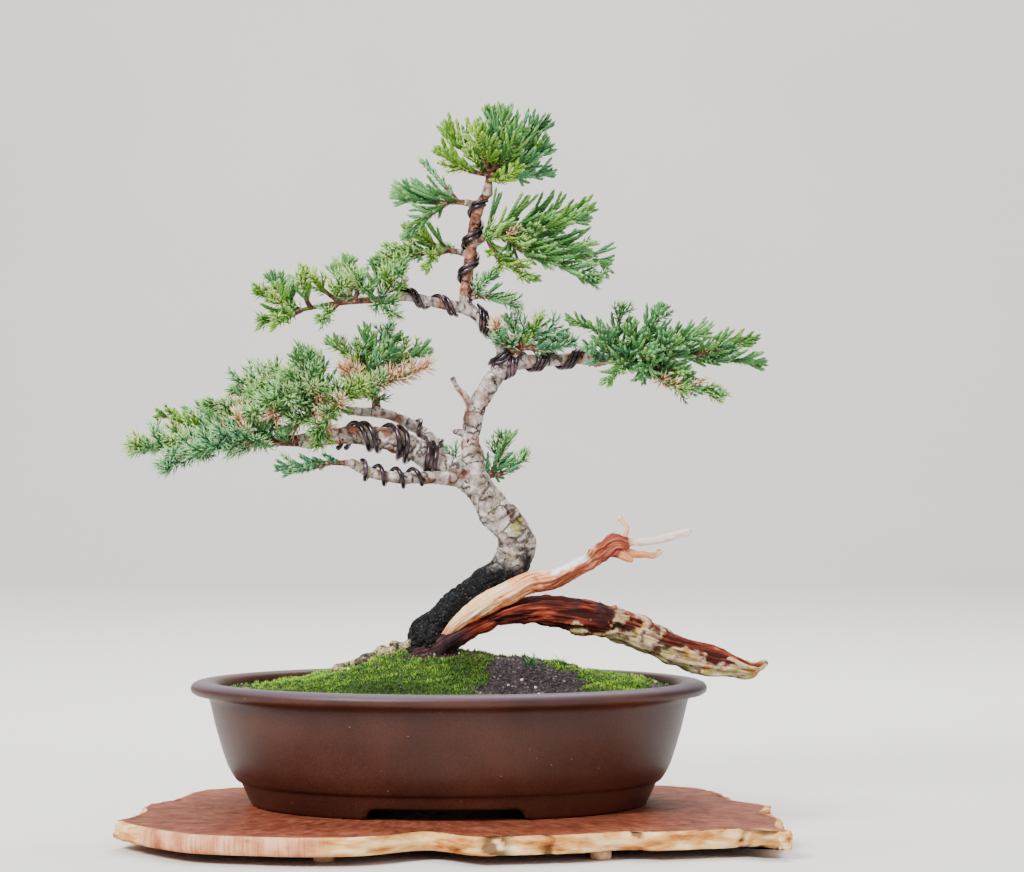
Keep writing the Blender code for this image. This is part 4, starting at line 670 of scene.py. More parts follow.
def heartwood_material():
    """Juniper heartwood that the bark has left: red-brown with long dark grain, and at the far
    end old pale bark with a little green on it; dark purple-brown at its foot, and a near-black
    painted shade on top where the stripped branch lies over it."""
    material, add = new_material("weathered_juniper_heartwood", 0.68, 0.15)
    # The second channel is the dark purple-brown of the foot and painted shade under the stripped branch
    old_bark, debris_and_painted_shade, lichen = channels(add, "look")
    fibres, flakes = grain_noise(add, 28.0, 2.2), grain_noise(add, 16.0, 2.0)
    patch = add("TexNoise", {"Vector": add("TexCoord", take="Object"), "Scale": per_metre(6.0),
                             "Detail": 4.0})
    red, bark, stain, debris_and_shade_colours = (add("ValToRGB", {0: noise}, stops=stops) for noise, stops in (
        (fibres, {0.34: "#1f0806", 0.43: "#4a160f", 0.52: "#74291b", 0.61: "#a1482c", 0.74: "#d98c56"}),
        (flakes, {0.33: "#4f3a2d", 0.42: "#8d7361", 0.5: "#bda287", 0.63: "#efdcbf"}),
        (patch, {0.36: "#7d5c50", 0.46: "#ffffff", 0.54: "#fff3d0", 0.64: "#d8b266"}),
        (flakes, {0.35: "#140d0f", 0.5: "#2b1b1e", 0.6: "#4a2b2c", 0.72: "#7b5350"})))
    green = add("Math", {0: patch, 1: lichen}, operation="MULTIPLY")
    green = add("MapRange", {0: green, 1: 0.3, 2: 0.55, 4: 0.6})
    for share, over, blend in ((1.0, stain, "MULTIPLY"), (green, "#8a9152", "MIX")):
        bark = add("Mix", {0: share, 6: bark, 7: over}, take=2, data_type="RGBA", blend_type=blend)
    crack = add("MapRange", {0: channels(add, "grain")[2], 1: -0.3, 2: -0.9, 4: 0.85})
    return finish(material, red, ((old_bark, bark), (debris_and_painted_shade, debris_and_shade_colours), (crack, "#24100c")), fibres, 0.4)


def foliage_material():
    """Living juniper needles: waxy, so a soft sheen; painted shade makes them deep green where they
    overlap, lighter at the tips, from blue-green to yellow-green, and tan where they have dried.
    The stems that carry them are brown bark where they are old."""
    material, add = new_material("juniper_needles", 0.6, 0.12)
    shade, tone, dryness = channels(add, "leaf")
    reach, stem = (add("Attribute", take="Fac", attribute_name=name) for name in ("reach", "brown"))
    flakes = add("TexNoise", {"Vector": add("TexCoord", take="Object"), "Scale": per_metre(1.6),
                              "Detail": 3.0})
    blue, yellow, tan, bark = (add("ValToRGB", {0: value}, stops=stops) for value, stops in (
        (shade, {0.0: "#0c2a18", 0.35: "#34694b", 0.65: "#65a274", 1.0: "#abd99e"}),
        (shade, {0.0: "#233a07", 0.35: "#54801c", 0.65: "#87b136", 1.0: "#c4de70"}),
        (shade, {0.0: "#6b3c28", 0.5: "#c98e68", 1.0: "#f4d5b2"}),
        (flakes, {0.35: "#3b241c", 0.55: "#6f4a3b", 0.7: "#a5806c"})))
    young = add("MapRange", {0: reach, 1: 0.6, 2: 1.0, 4: 0.36})
    return finish(material, blue, ((tone, yellow), (young, "#b8d68c"), (dryness, tan), (stem, bark)))


def wire_material():
    """Anodised aluminium training wire: dyed brown-black, drawn smooth, with a soft metal shine
    and a purple tinge."""
    material, add = new_material("brown_anodised_aluminium", 0.24, 0.7, 0.5)
    wear = add("TexNoise", {"Vector": add("TexCoord", take="Object"), "Scale": per_metre(5.0), "Detail": 3.0})
    dye = add("ValToRGB", {0: wear}, stops={0.38: "#1e1517", 0.52: "#3a2a2e", 0.66: "#664f58"})
    return finish(material, dye)


def stoneware_material():
    """Unglazed stoneware, pressed in a mould and fired brown: matte with a fine grit, warmer where
    the fire touched it, a few pale grains, and a painted lilac sky reflection on top of the lip."""
    material, add = new_material("brown_unglazed_stoneware", specular=0.3)
    place = add("TexCoord", take="Object")
    cloud = add("TexNoise", {"Vector": place, "Scale": per_metre(45.0), "Detail": 3.0})
    grit = add("TexNoise", {"Vector": place, "Scale": per_metre(0.9), "Detail": 5.0, "Roughness": 0.7})
    mixed = add("Mix", {0: 0.42, 2: cloud, 3: grit})
    clay = add("ValToRGB", {0: mixed}, stops={0.36: "#2a110b", 0.5: "#3b1b12", 0.62: "#49261b"})
    grains = add("TexVoronoi", {"Vector": place, "Scale": per_metre(7.0), "Randomness": 1.0})
    pale = add("MapRange", {0: grains, 1: 0.05, 2: 0.03, 4: 0.3})
    # Painted reflection: the outer top of the lip is tinted lilac as the sky's reflection on it
    painted_lip_reflection = add("Attribute", take="Fac", attribute_name="painted_lip_reflection")
    painted_lip_reflection = add("Math", {0: painted_lip_reflection, 1: 0.6}, operation="MULTIPLY")
    rough = add("MapRange", {0: grit, 1: 0.3, 2: 0.7, 3: 0.34, 4: 0.5})
    return finish(material, clay, ((pale, "#c9a98d"), (painted_lip_reflection, "#6c6272")), grit, 0.12, rough)


def burl_material():
    """Burl wood, sawn to a slab and oiled on top: red-brown figure that streams outwards, with
    small dark eyes; the sawn face is paler with saw lines, the live edge honey with dark pockets."""
    material, add = new_material("oiled_burl_wood", specular=0.12)
    place = add("TexCoord", take="Object")
    edge, live, hollow = channels(add, "look")
    warp = add("TexNoise", {"Vector": place, "Scale": per_metre(38.0), "Detail": 3.0}, take="Color")
    bent = add("VectorMath", {0: warp, 1: (0.05, 0.05, 0.0), 2: place}, operation="MULTIPLY_ADD")
    swirl = add("TexNoise", {"Vector": bent, "Scale": per_metre(11.0), "Detail": 7.0, "Roughness": 0.62,
                             "Distortion": 1.6})
    flame = add("TexNoise", {"Vector": bent, "Scale": per_metre(24.0), "Detail": 5.0, "Roughness": 0.7,
                             "Distortion": 2.4})
    ray = add("Attribute", take="Vector", attribute_name="ray")
    rays = add("TexNoise", {"Vector": ray, "Scale": 3.2, "Detail": 6.0, "Roughness": 0.62})
    eyes = add("TexVoronoi", {"Vector": bent, "Scale": per_metre(6.5), "Randomness": 1.0})
    broad = add("TexNoise", {"Vector": place, "Scale": per_metre(9.0), "Detail": 5.0})
    figure = add("Mix", {0: 0.55, 2: swirl, 3: rays})
    saw_lines = add("Mix", {0: 0.6, 2: grain_noise(add, 1.1, 30.0, 3.0), 3: broad})
    top, side, honey = (add("ValToRGB", {0: noise}, stops=stops) for noise, stops in (
        (figure, {0.34: "#4e1f12", 0.45: "#6e3625", 0.54: "#864934", 0.68: "#a6684b"}),
        (saw_lines, {0.36: "#a35c3c", 0.48: "#cc8a63", 0.6: "#e9b28d"}),
        (grain_noise(add, 24.0, 5.0), {0.32: "#6b3a17", 0.41: "#b97638", 0.5: "#e0a560", 0.62: "#fcdca4"})))
    red = add("MapRange", {0: flame, 1: 0.52, 2: 0.7, 4: 0.55})
    eye = add("MapRange", {0: eyes, 1: 0.14, 2: 0.06, 4: 0.3})
    pocket = add("MapRange", {0: hollow, 1: -0.5, 2: -1.4, 4: 0.85})
    for share, over in ((live, honey), (pocket, "#4a2a1b")):
        side = add("Mix", {0: share, 6: side, 7: over}, take=2, data_type="RGBA")
    rough = add("MapRange", {0: edge, 3: 0.6, 4: 0.75})
    return finish(material, top, ((red, "#7d3221"), (eye, "#6e3425"), (edge, side)), swirl, 0.12, rough)


def moss_material():
    """Living moss: upright leafy stems a millimetre or two tall, with painted shade nearly black
    between them at their feet and bright green at the tips, with no shine."""
    material, add = new_material("living_moss", 0.8, 0.2)
    shade, tone, age = channels(add, "leaf")
    deep, bright, olive = (add("ValToRGB", {0: shade}, stops=stops) for stops in (
        {0.0: "#0d1807", 0.35: "#335519", 0.7: "#6c9f2c", 1.0: "#a5d050"},
        {0.0: "#1a260a", 0.35: "#5a7a1c", 0.7: "#96b737", 1.0: "#c9dc60"},
        {0.0: "#161608", 0.4: "#43431a", 0.8: "#6f6f2b", 1.0: "#94903f"}))
    return finish(material, deep, ((tone, bright), (age, olive)))


def soil_material():
    """Bonsai soil: dark purple-brown baked clay and bark grains, damp, with moss over most of it."""
    material, add = new_material("damp_bonsai_soil", 0.9, 0.25)
    mossy, bark_chips, _ = channels(add, "look")
    grains = add("TexNoise", {"Vector": add("TexCoord", take="Object"), "Scale": per_metre(1.4),
                              "Detail": 5.0, "Roughness": 0.7})
    bare, chips, green = (add("ValToRGB", {0: grains}, stops=stops) for stops in (
        {0.35: "#120d0f", 0.5: "#2d2427", 0.63: "#54464a", 0.75: "#8a7d7d"},
        {0.35: "#150a0a", 0.5: "#35191b", 0.66: "#5f3434", 0.78: "#93665c"},
        {0.35: "#0e1808", 0.5: "#2a4115", 0.68: "#547527"}))
    return finish(material, bare, ((bark_chips, chips), (mossy, green)), grains, 0.6)


def grit_material():
    """Grit of the soil: broken baked clay, pumice and bark, from near black to white."""
    material, add = new_material("clay_and_pumice_grit", 0.85)
    pits = add("TexNoise", {"Vector": add("TexCoord", take="Object"), "Scale": per_metre(0.6), "Detail": 4.0})
    colour = add("ValToRGB", {0: add("Attribute", take="Fac", attribute_name="tint")},
                 stops={0.0: "#150e10", 0.4: "#3b2f34", 0.7: "#62545a", 0.9: "#8d8083", 1.0: "#efe9e1"})
    return finish(material, colour, (), pits, 0.2)


def plain_material(name, low, high, size_mm, roughness, depth_mm):
    """A quiet finish for small or hidden pieces: two near colours in a noise of one size."""
    material, add = new_material(name, roughness)
    noise = add("TexNoise", {"Vector": add("TexCoord", take="Object"), "Scale": per_metre(size_mm),
                             "Detail": 4.0})
    return finish(material, add("ValToRGB", {0: noise}, stops={0.35: low, 0.65: high}), (), noise, depth_mm)


def between(share, low, high):
    """The value at a share of the way from low to high."""
    return low + (high - low) * share


def side_of(headings):
    """Level directions square to headings."""
    side = np.cross(headings, UP)
    flat = np.linalg.norm(side, axis=1, keepdims=True) < 0.1
    return unit(np.where(flat, (1.0, 0.0, 0.0), side))


def twig_places(twigs, share):
    """Points on twigs: base + heading L t + up lift L t2, at one share t for each twig."""
    length = twigs["length"]
    return (twigs["base"] + twigs["heading"] * (length * share)[:, None]
            + UP * (twigs["lift"] * length * share ** 2)[:, None])


def directions(twigs, share):
    """Heading, level side and the direction above it, of twigs at one share for each."""
    heading = unit(twigs["heading"] + UP * (2 * twigs["lift"] * share)[:, None])
    side = side_of(twigs["heading"])
    return heading, side, np.cross(side, heading)


def grown(parents, share, lean, roll, length, lift, rng):
    """Twigs that leave others, one for each: at a share of the parent, turned by the lean away
    from the parent's heading h, that is h cos lean + (side cos roll + above sin roll) sin lean."""
    base = twig_places(parents, share)
    heading, side, above = directions(parents, share)
    heading = unit(turned(lean, heading, turned(roll, side, above)))
    return {**parents, "base": base, "heading": heading, "length": length, "lift": lift,
            "tone": parents["tone"] + rng.normal(0, 0.07, len(base))}


def picked(twigs, numbers):
    """The twigs with the given numbers or marks."""
    return {key: field[numbers] for key, field in twigs.items()}


def joined(groups):
    """Groups of twigs as one."""
    return {key: np.concatenate([group[key] for group in groups]) for key in groups[0]}


def keep_within(twigs, low, high):
    """Shorten twigs whose ends leave a box to three quarters, up to six times, and drop the rest."""
    for _ in range(6):
        ends = twig_places(twigs, np.ones(len(twigs["base"])))
        outside = ((ends < low) | (ends > high)).any(axis=1)
        twigs["length"] = np.where(outside, 0.75 * twigs["length"], twigs["length"])
    return picked(twigs, ~outside & (twigs["length"] > 1.5))


def numbered(counts):
    """For counts of children: the parent of each child, and its number among them."""
    parent = np.repeat(np.arange(len(counts)), counts)
    return parent, np.arange(len(parent)) - np.repeat(np.cumsum(counts) - counts, counts)


def rods(twigs, pitch, sides, relief, dome):
    """Closed rods along the twigs, as a ring of points every pitch and a pole at each end.

    A ring's radius is the twig's, less an eighth at its end, and closes over the last dome mm as
    a half circle does. Every other point stands out by the relief, and in the next ring the
    points between them do, as scale leaves overlap. Gives points, faces and for each point its
    twig, its distance from the end, and whether it stands out.
    """
    counts = np.maximum(4, np.ceil(twigs["length"] / pitch).astype(int) + 1)
    parent, number = numbered(counts)
    share = number / (counts[parent] - 1)
    chosen = picked(twigs, parent)
    heading, side, above = directions(chosen, share)
    left = chosen["length"] * (1 - share)
    end = np.clip(left / dome, 0.05, 1.0)
    radius = chosen["radius"] * np.sqrt(end * (2 - end)) * (1 - 0.12 * share)
    spoke = np.arange(sides)
    raised = (number[:, None] + spoke) % 2
    reach = radius[:, None] * (1 + relief * (raised - 0.5))
    angle = -spoke * TURN / sides
    outward = (np.cos(angle)[:, None] * side[:, None, :] + np.sin(angle)[:, None] * above[:, None, :])
    rings = twig_places(chosen, share)[:, None, :] + reach[:, :, None] * outward
    first, last = np.cumsum(counts) - counts, np.cumsum(counts) - 1
    poles = [twigs["base"] - 0.2 * twigs["heading"],
             twig_places(twigs, np.ones(len(counts))) + 0.12 * heading[last]]
    points = np.concatenate([rings.reshape(-1, 3)] + poles)
    ahead = (spoke + 1) % sides
    high = sides * np.flatnonzero(number > 0)[:, None]
    low = high - sides
    quads = np.stack((low + spoke, low + ahead, high + ahead, high + spoke), axis=-1).reshape(-1, 4)
    pole = sides * len(parent) + np.broadcast_to(np.arange(len(counts))[:, None], (len(counts), sides))
    start, stop = sides * first[:, None], sides * last[:, None]
    caps = np.concatenate((np.stack((start + ahead, start + spoke, pole), axis=-1),
                           np.stack((stop + spoke, stop + ahead, pole + len(counts)), axis=-1)))
    twig = np.concatenate((np.repeat(parent, sides), np.tile(np.arange(len(counts)), 2)))
    left = np.concatenate((np.repeat(left, sides), twigs["length"], np.zeros(len(counts))))
    raised = np.concatenate((raised.ravel(), np.ones(2 * len(counts))))
    return points, [quads, caps.reshape(-1, 3)], (twig, left, raised)


def cords(twigs):
    """Scale-clad cords: six-sided rods with relief, with a painted highlight on the raised scales,
    painted shade away from the tip, and lighter at the tip.
    """
    points, faces, (twig, left, raised) = rods(twigs, pitch=1.1, sides=6, relief=0.24, dome=1.4)
    # Painted light: raised scale points lighter; painted shade darker further in than 2 to 12 mm from the tip
    shade = 0.34 + 0.3 * raised + twigs["bright"][twig] - 0.2 * rise(left, 2.0, 12.0)
    leaf = np.stack((np.clip(shade, 0, 1), np.clip(twigs["tone"], 0, 1)[twig], twigs["dry"][twig]), axis=1)
    return points, faces, [leaf, np.zeros(len(points)), np.clip(1 - left / 3.5, 0, 1)]


def cores(twigs):
    """The green shoots that needles stand on: slim four-sided rods."""
    slim = {**twigs, "radius": 0.55 * twigs["radius"]}
    points, faces, (twig, _, _) = rods(slim, pitch=4.0, sides=4, relief=0.0, dome=1.5)
    shade = np.full(len(points), 0.3)
    leaf = np.stack((shade, np.clip(twigs["tone"], 0, 1)[twig], twigs["dry"][twig]), axis=1)
    return points, faces, [leaf, np.zeros(len(points)), np.full(len(points), 0.25)]


def needles(twigs, low, high, rng):
    """Awl needles in whorls of three every 1.7 mm along the twigs, each whorl turned by 60
    degrees. A needle is a slim double pyramid: a point on the twig, three corners at 0.36 of its
    length, and its tip. It leans from the twig by 50 degrees, and by 15 at the twig's end.
    """
    parent, number = numbered(np.maximum(2, (twigs["length"] / WHORL_SPACING).astype(int)))
    share = (number + 0.75) / np.bincount(parent)[parent]
    parent, number, share = (np.repeat(values, 3) for values in (parent, number, share))
    count = len(parent)
    chosen = picked(twigs, parent)
    heading, side, above = directions(chosen, share)
    angle = number * TURN / 6 + np.tile(np.arange(3) * TURN / 3, count // 3) + rng.normal(0, 0.22, count)
    outward = turned(angle, side, above)
    lean = np.radians(np.interp(share, (0.0, 0.7, 1.0), (50, 36, 15))) * rng.uniform(0.82, 1.18, count)
    pointing = turned(lean, heading, outward)
    length = chosen["needle"] * rng.uniform(0.85, 1.15, count) * (1 - 0.25 * share ** 3)
    width = rng.uniform(0.8, 1.1, count)
    flank = unit(np.cross(pointing, outward))
    face = np.cross(flank, pointing)
    base = twig_places(chosen, share) + 0.15 * outward
    tip = base + pointing * length[:, None] + UP * (0.05 * length)[:, None]
    middle = base + pointing * (0.36 * length)[:, None]
    corners = [middle + (0.5 * width * np.cos(a))[:, None] * flank
               + (0.34 * width * np.sin(a))[:, None] * face
               for a in (TURN / 4, TURN * 7 / 12, TURN * 11 / 12)]
    keep = ((tip > low) & (tip < high)).all(axis=1)
    points = np.stack([base] + corners + [tip], axis=1)[keep]
    shape = np.array([(0, 1, 2), (0, 2, 3), (0, 3, 1), (1, 4, 2), (2, 4, 3), (3, 4, 1)])
    faces = repeated(shape, 5, len(points))
    old = rng.random(count) < 0.1 * (share < 0.4)
    dry = np.maximum(chosen["dry"], 0.8 * old)[keep]
    # Painted shade: needles darker towards the twig's foot, and each needle dark at its own foot
    bright = (chosen["bright"] + rng.normal(0, 0.11, count))[keep] - 0.22 * (1 - share[keep]) ** 1.5
    shade = np.clip(np.array((0.25, 0.72, 0.72, 0.72, 1.0)) + bright[:, None], 0, 1)
    tone = np.broadcast_to(np.clip(chosen["tone"], 0, 1)[keep][:, None], shape=shade.shape)
    leaf = np.stack((shade, tone, np.broadcast_to(dry[:, None], shade.shape)), axis=-1)
    reach = np.outer(share[keep], (0.5, 0.7, 0.7, 0.7, 1.0))
    return (points.reshape(-1, 3), [faces],
            [leaf.reshape(-1, 3), np.zeros(leaf.size // 3), reach.ravel()])


def pad_stems(name):
    """Routes of a pad's stems with their radii; each but the first grows from the first."""
    first_radius, stems = PADS[name][1:]
    main = smooth_route(stems[0][0], 1.5)
    routes = []
    for index, (points, *_) in enumerate(stems):
        if index > 0:
            nearest = np.argmin(np.linalg.norm(main - np.array(points[0], dtype=float), axis=1))
            points = (tuple(main[nearest]),) + points[1:]
        radii = np.linspace(STEM_RADIUS if index else first_radius, STEM_TIP_RADIUS, len(points))
        routes.append(smooth_route([(*point, radius) for point, radius in zip(points, radii)], 1.2))
    return routes


def pad_box(name):
    """The corners of the box that a pad keeps to: round its CAD solid and its stems' ends with
    a margin, and inside the box of the whole part."""
    whole_low, whole_high = (np.array(corner) / MM - POT_CENTRE for corner in cad_box)
    low, high = (np.array(corner) / MM - POT_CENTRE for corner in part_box(name))
    ends = np.array([points[-1] for points, *_ in PADS[name][2]])
    return (np.maximum(np.minimum(low - PAD_MARGIN, ends.min(axis=0) - 6), whole_low + 0.3),
            np.minimum(np.maximum(high + PAD_MARGIN, ends.max(axis=0) + 6), whole_high - 0.3))


def stem_growth(route, stem, start, rng):
    """What grows on a stem past its bare start: its side twigs by the golden angle, four twigs
    at its tip, and the places where needles stand on the stem itself."""
    longest, habit, tone, dry = stem[1:5]
    along = distances(route)
    openness = min(habit, 1.0)
    places = np.arange(start, along[-1] - 0.5, between(habit, *TWIG_SPACING))
    places = places + rng.uniform(-0.5, 0.5, len(places))
    count = len(places)
    tangents = turn_frames(route)[0]
    heading = unit(np.stack([np.interp(places, along, column) for column in tangents.T], axis=1))
    share = (places - start) / (along[-1] - start)
    tone_here = tone - 0.14 * openness + rng.normal(0, 0.12, count)
    on_stem = {"base": read_route(route, places)[:, :3], "heading": heading,
               "length": np.full(count, 2.6), "lift": np.zeros(count), "tone": tone_here,
               "dry": (rng.random(count) < dry).astype(float),
               "bright": rng.normal(0, 0.11, count),
               "needle": np.full(count, 3.6 + 2.5 * openness),
               "radius": 0.74 + 0.18 * np.clip(tone_here, 0, 1) + rng.normal(0, 0.05, count),
               "awl": (rng.random(count) < habit).astype(float)}
    on_stem["dry"] = on_stem["dry"] * on_stem["awl"]
    roll = np.radians(-35 + 250 * ((GOLDEN_SHARE * np.arange(count) + rng.random()) % 1.0))
    lean = rng.uniform(0.42, 0.66, count) + 0.2 * openness
    size = longest * (1 - 0.4 * share ** 2) * rng.uniform(0.75, 1.1, count)
    size = size * np.where(on_stem["awl"] > 0, 1.0, 1.12)
    side_twigs = grown(on_stem, np.zeros(count), lean, roll, size, rng.uniform(0.02, 0.22, count), rng)
    tip = picked(on_stem, np.full(4, -1))
    tip["base"] = np.repeat(route[-1:, :3], 4, axis=0)
    tip_twigs = grown(tip, np.zeros(4), np.array((0.05, 0.4, 0.4, 0.4)),
                      np.arange(4) * TURN / 3 + 0.5, longest * rng.uniform(0.4, 0.7, 4),
                      rng.uniform(0.02, 0.15, 4), rng)
    return side_twigs, tip_twigs, picked(on_stem, share > 0.1)


def side_growth(twigs, rng):
    """Side twigs of the twigs over 6 mm, left and right in turn and shorter towards the end;
    they stand closer, and are shorter, where a cord is yellow-green."""
    dense = np.clip(twigs["tone"], 0, 1) ** 4
    pitch = np.where(twigs["awl"] > 0, 4.6, 6.6 - 3.2 * dense)
    counts = np.where(twigs["length"] > 6.0, twigs["length"] / pitch, 0).astype(int)
    parent, number = numbered(counts)
    parents = picked(twigs, parent)
    share = (number + 0.9) / (counts[parent] + 1.0) * np.where(parents["awl"] > 0, 1.0, 0.52)
    size = np.where(parents["awl"] > 0, 0.76, 0.88) - 0.44 * share
    size = parents["length"] * size * rng.uniform(0.75, 1.15, len(parent))
    size = size * (1 - 0.4 * dense[parent])
    roll = np.where(number % 2, 0.0, np.pi) + rng.normal(0.3, 0.5, len(parent))
    lean = rng.uniform(0.28, 0.46, len(parent)) + 0.27 * parents["awl"]
    side_twigs = grown(parents, share, lean, roll, np.maximum(size, 2.8),
                       rng.uniform(0.0, 0.18, len(parent)), rng)
    return {**side_twigs, "radius": 0.94 * side_twigs["radius"]}


def build_foliage(name, seed, material):
    """A pad: stems along their routes with twigs and side twigs on them, and each twig a
    scale-clad cord or a shoot with needles, by habit."""
    rng = np.random.default_rng(seed)
    bare, _, stems = PADS[name]
    low, high = pad_box(name)
    groups, shoots, surfaces = [], [], []
    for index, (route, stem) in enumerate(zip(pad_stems(name), stems)):
        along = distances(route)
        start = max(bare + 1.5 if index == 0 else 2.5, sum(stem[5:]) * along[-1])
        *twigs, shoot = stem_growth(route, stem, start, rng)
        groups += twigs
        shoots.append(shoot)
        points, faces, (reach, _, _) = swept(route[along > bare] if index == 0 else route, 10)
        brown = rise(reach, 0.75 * along[-1], 0.3 * along[-1])
        leaf = np.tile((0.3, stem[3], 0.0), (len(points), 1))
        surfaces.append((points, faces, [leaf, brown, np.zeros(len(points))]))
    twigs = keep_within(joined(groups), low + 1.5, high - 1.5)
    twigs = joined((twigs, keep_within(side_growth(twigs, rng), low + 1.0, high - 1.0)))
    clad, open_twigs = picked(twigs, twigs["awl"] == 0), picked(twigs, twigs["awl"] > 0)
    open_twigs = joined((open_twigs, keep_within(joined(shoots), low, high)))
    surfaces += [cords(clad), cores(open_twigs), needles(open_twigs, low, high, rng)]
    points, faces, (leaf, brown, reach) = merge(surfaces)
    piece = new_piece(name + "_needles", points, faces, material,
                      fields={"leaf": leaf, "brown": brown, "reach": reach})
    return settle(piece, "juniper_foliage", name)


def bark_cracks(points, along, angle, radius, seed):
    """How far a place is in a crack, 0 to 1: bell curves of the distance to ring cracks every
    8.2 mm and to long fissures every 5 mm, which wander with noise and fade in and out."""
    wander = 2.2 * ripples(points, 11.0, seed + 2) + 0.9 * ripples(points, 3.5, seed + 3)
    ring = np.abs((along + wander) % RING_CRACK_SPACING - RING_CRACK_SPACING / 2)
    ring_share = rise(ripples(points, 9.0, seed + 4), -0.7, 0.4)
    line = np.abs((angle * radius + 1.3 * wander) % FISSURE_SPACING - FISSURE_SPACING / 2)
    line_share = rise(ripples(points * np.array((1.0, 1.0, 0.6)), 12.0, seed + 5), -0.5, 0.6)
    return np.maximum(ring_share * np.exp(-(ring / 0.36) ** 2),
                      0.85 * line_share * np.exp(-(line / 0.32) ** 2))


def cracked_bark(seed, lumps=0.5):
    """Relief of old bark in millimetres: large lumps, plates as 0.3 tanh(2.5 n) of a noise n
    that is stretched along the trunk, a fine roughness, and the cracks 0.75 deep."""
    def relief(points, along, angle, radius):
        plates = np.tanh(2.5 * ripples(points * np.array((1.0, 1.0, 0.6)), 7.0, seed))
        small = np.tanh(2.2 * ripples(points, 2.4, seed + 1))
        size = np.clip(radius / 6.5, 0.35, 1.25)
        cracks = bark_cracks(points, along, angle, radius, seed)
        return size * (lumps * ripples(points, 13.0, seed + 7) + 0.3 * plates + 0.16 * small
                       - 0.75 * cracks + 0.09 * ripples(points, 0.9, seed + 6)) - 0.1
    return relief


def flared(route, amount, reach):
    """A route whose radius grows towards its start by the share amount exp(-along / reach)."""
    wider = route.copy()
    wider[:, 3] *= 1 + amount * np.exp(-distances(route) / reach)
    return wider


def soil_height(x, y):
    """Height of the soil: the level at the pot's wall and its bell-shaped mounds."""
    return bells(x, y, SOIL_MOUNDS, SOIL_EDGE)


def bark_look(kind, points, along):
    """How wet, how red and how green the bark is, each 0 to 1: the trunk is black with wet at its
    foot and red where it is thin, the root tan (red of -1), and the branches are patchy. The
    patches are soft steps of a noise, of the height and of the length along."""
    edge = 3.0 * ripples(points, 10.0, 5) + 1.2 * ripples(points, 2.5, 6)
    level = points[:, 2]
    none = np.zeros(len(points))
    if kind == "root":
        wet = 0.8 * rise(edge + 2 * ripples(points, 4.0, 63), -0.6, -2.2)
        return wet, none - 1, 0.5 * rise(edge, 0.5, 3.0)
    if kind == "trunk":
        wet = rise(level + edge, 115.5, 107.0)
        red = (0.9 * rise(along, 221.0, 230.0)
               + 0.55 * rise(along, 132.0, 146.0) * rise(along, 184.0, 166.0))
        lichen = 0.75 * rise(edge, 0.0, 3.0) * rise(level, 106.0, 118.0) * rise(level, 150.0, 128.0)
        return wet, red, lichen + 0.15 * rise(edge, 2.0, 4.0)
    if kind == "stub":
        return none, none + 0.5, none
    red = 0.65 * rise(edge, -1.0, 2.5) + 0.2 * rise(along, 30.0, 60.0)
    return none, red, 0.6 * rise(edge, 1.0, -2.5) * rise(along, 20.0, 45.0)


def build_live_wood(material):
    """Trunk, branches, surface root, dead twig and pad stubs: swept tubes with bark relief."""
    root = [(x, y, float(soil_height(x, y)) + radius * 0.5, radius) for x, y, radius in SURFACE_ROOT]
    parts = [("trunk", TRUNK, 84, 0.8, 0.0, 1), ("branch", LEFT_BRANCH, 56, 0.75, 0.3, 11),
             ("branch", LEFT_UPPER_BRANCH, 36, 0.8, 0.35, 21),
             ("branch", LEFT_LOWER_BRANCH, 36, 0.8, 0.3, 31),
             ("branch", LEFT_SECOND_BRANCH, 34, 0.8, 0.3, 41),
             ("branch", RIGHT_BRANCH, 40, 0.8, 0.3, 51),
             ("root", root, 52, 0.7, 0.0, 61), ("twig", DEAD_TWIG, 22, 0.7, 0.4, 71),
             ("twig", DEAD_STUB, 22, 0.7, 0.3, 81)]
    for index, (bare, radius, stems) in enumerate(PADS.values()):
        route = smooth_route([(*point, radius) for point in stems[0][0]], 0.8)
        parts.append(("stub", route[distances(route) <= bare + 1.2], 14, 0.8, 0.4, 91 + index))
    surfaces, looks, skins, cracks = [], [], [], []
    for kind, knots, sides, step, flare, seed in parts:
        route = flared(knots if kind == "stub" else smooth_route(knots, step), flare, 4.0)
        if kind == "root":
            route[:, 3] *= 1 + 0.3 * ripples(route[:, :3], 7.0, 62)
        lumps = {"root": 1.0, "trunk": 0.7}.get(kind, 0.4)
        surface = swept(route, sides, cracked_bark(seed, lumps))
        points, _, (along, angle, _) = surface
        radius = np.interp(along, distances(route), route[:, 3])
        crack = bark_cracks(points, along, angle, radius, seed)
        surfaces.append(surface)
        looks.append(np.stack(bark_look(kind, points, along), axis=1))
        skins.append(np.stack((along, radius * np.cos(angle), radius * np.sin(angle)), axis=1))
        cracks.append(crack)
    points, faces, _ = merge(surfaces)
    piece = new_piece("live_wood_with_bark", points, faces, material,
                      fields={"look": np.concatenate(looks), "skin": np.concatenate(skins),
                              "crack": np.concatenate(cracks)})
    return settle(piece, "juniper_wood", "trunk_and_branches")


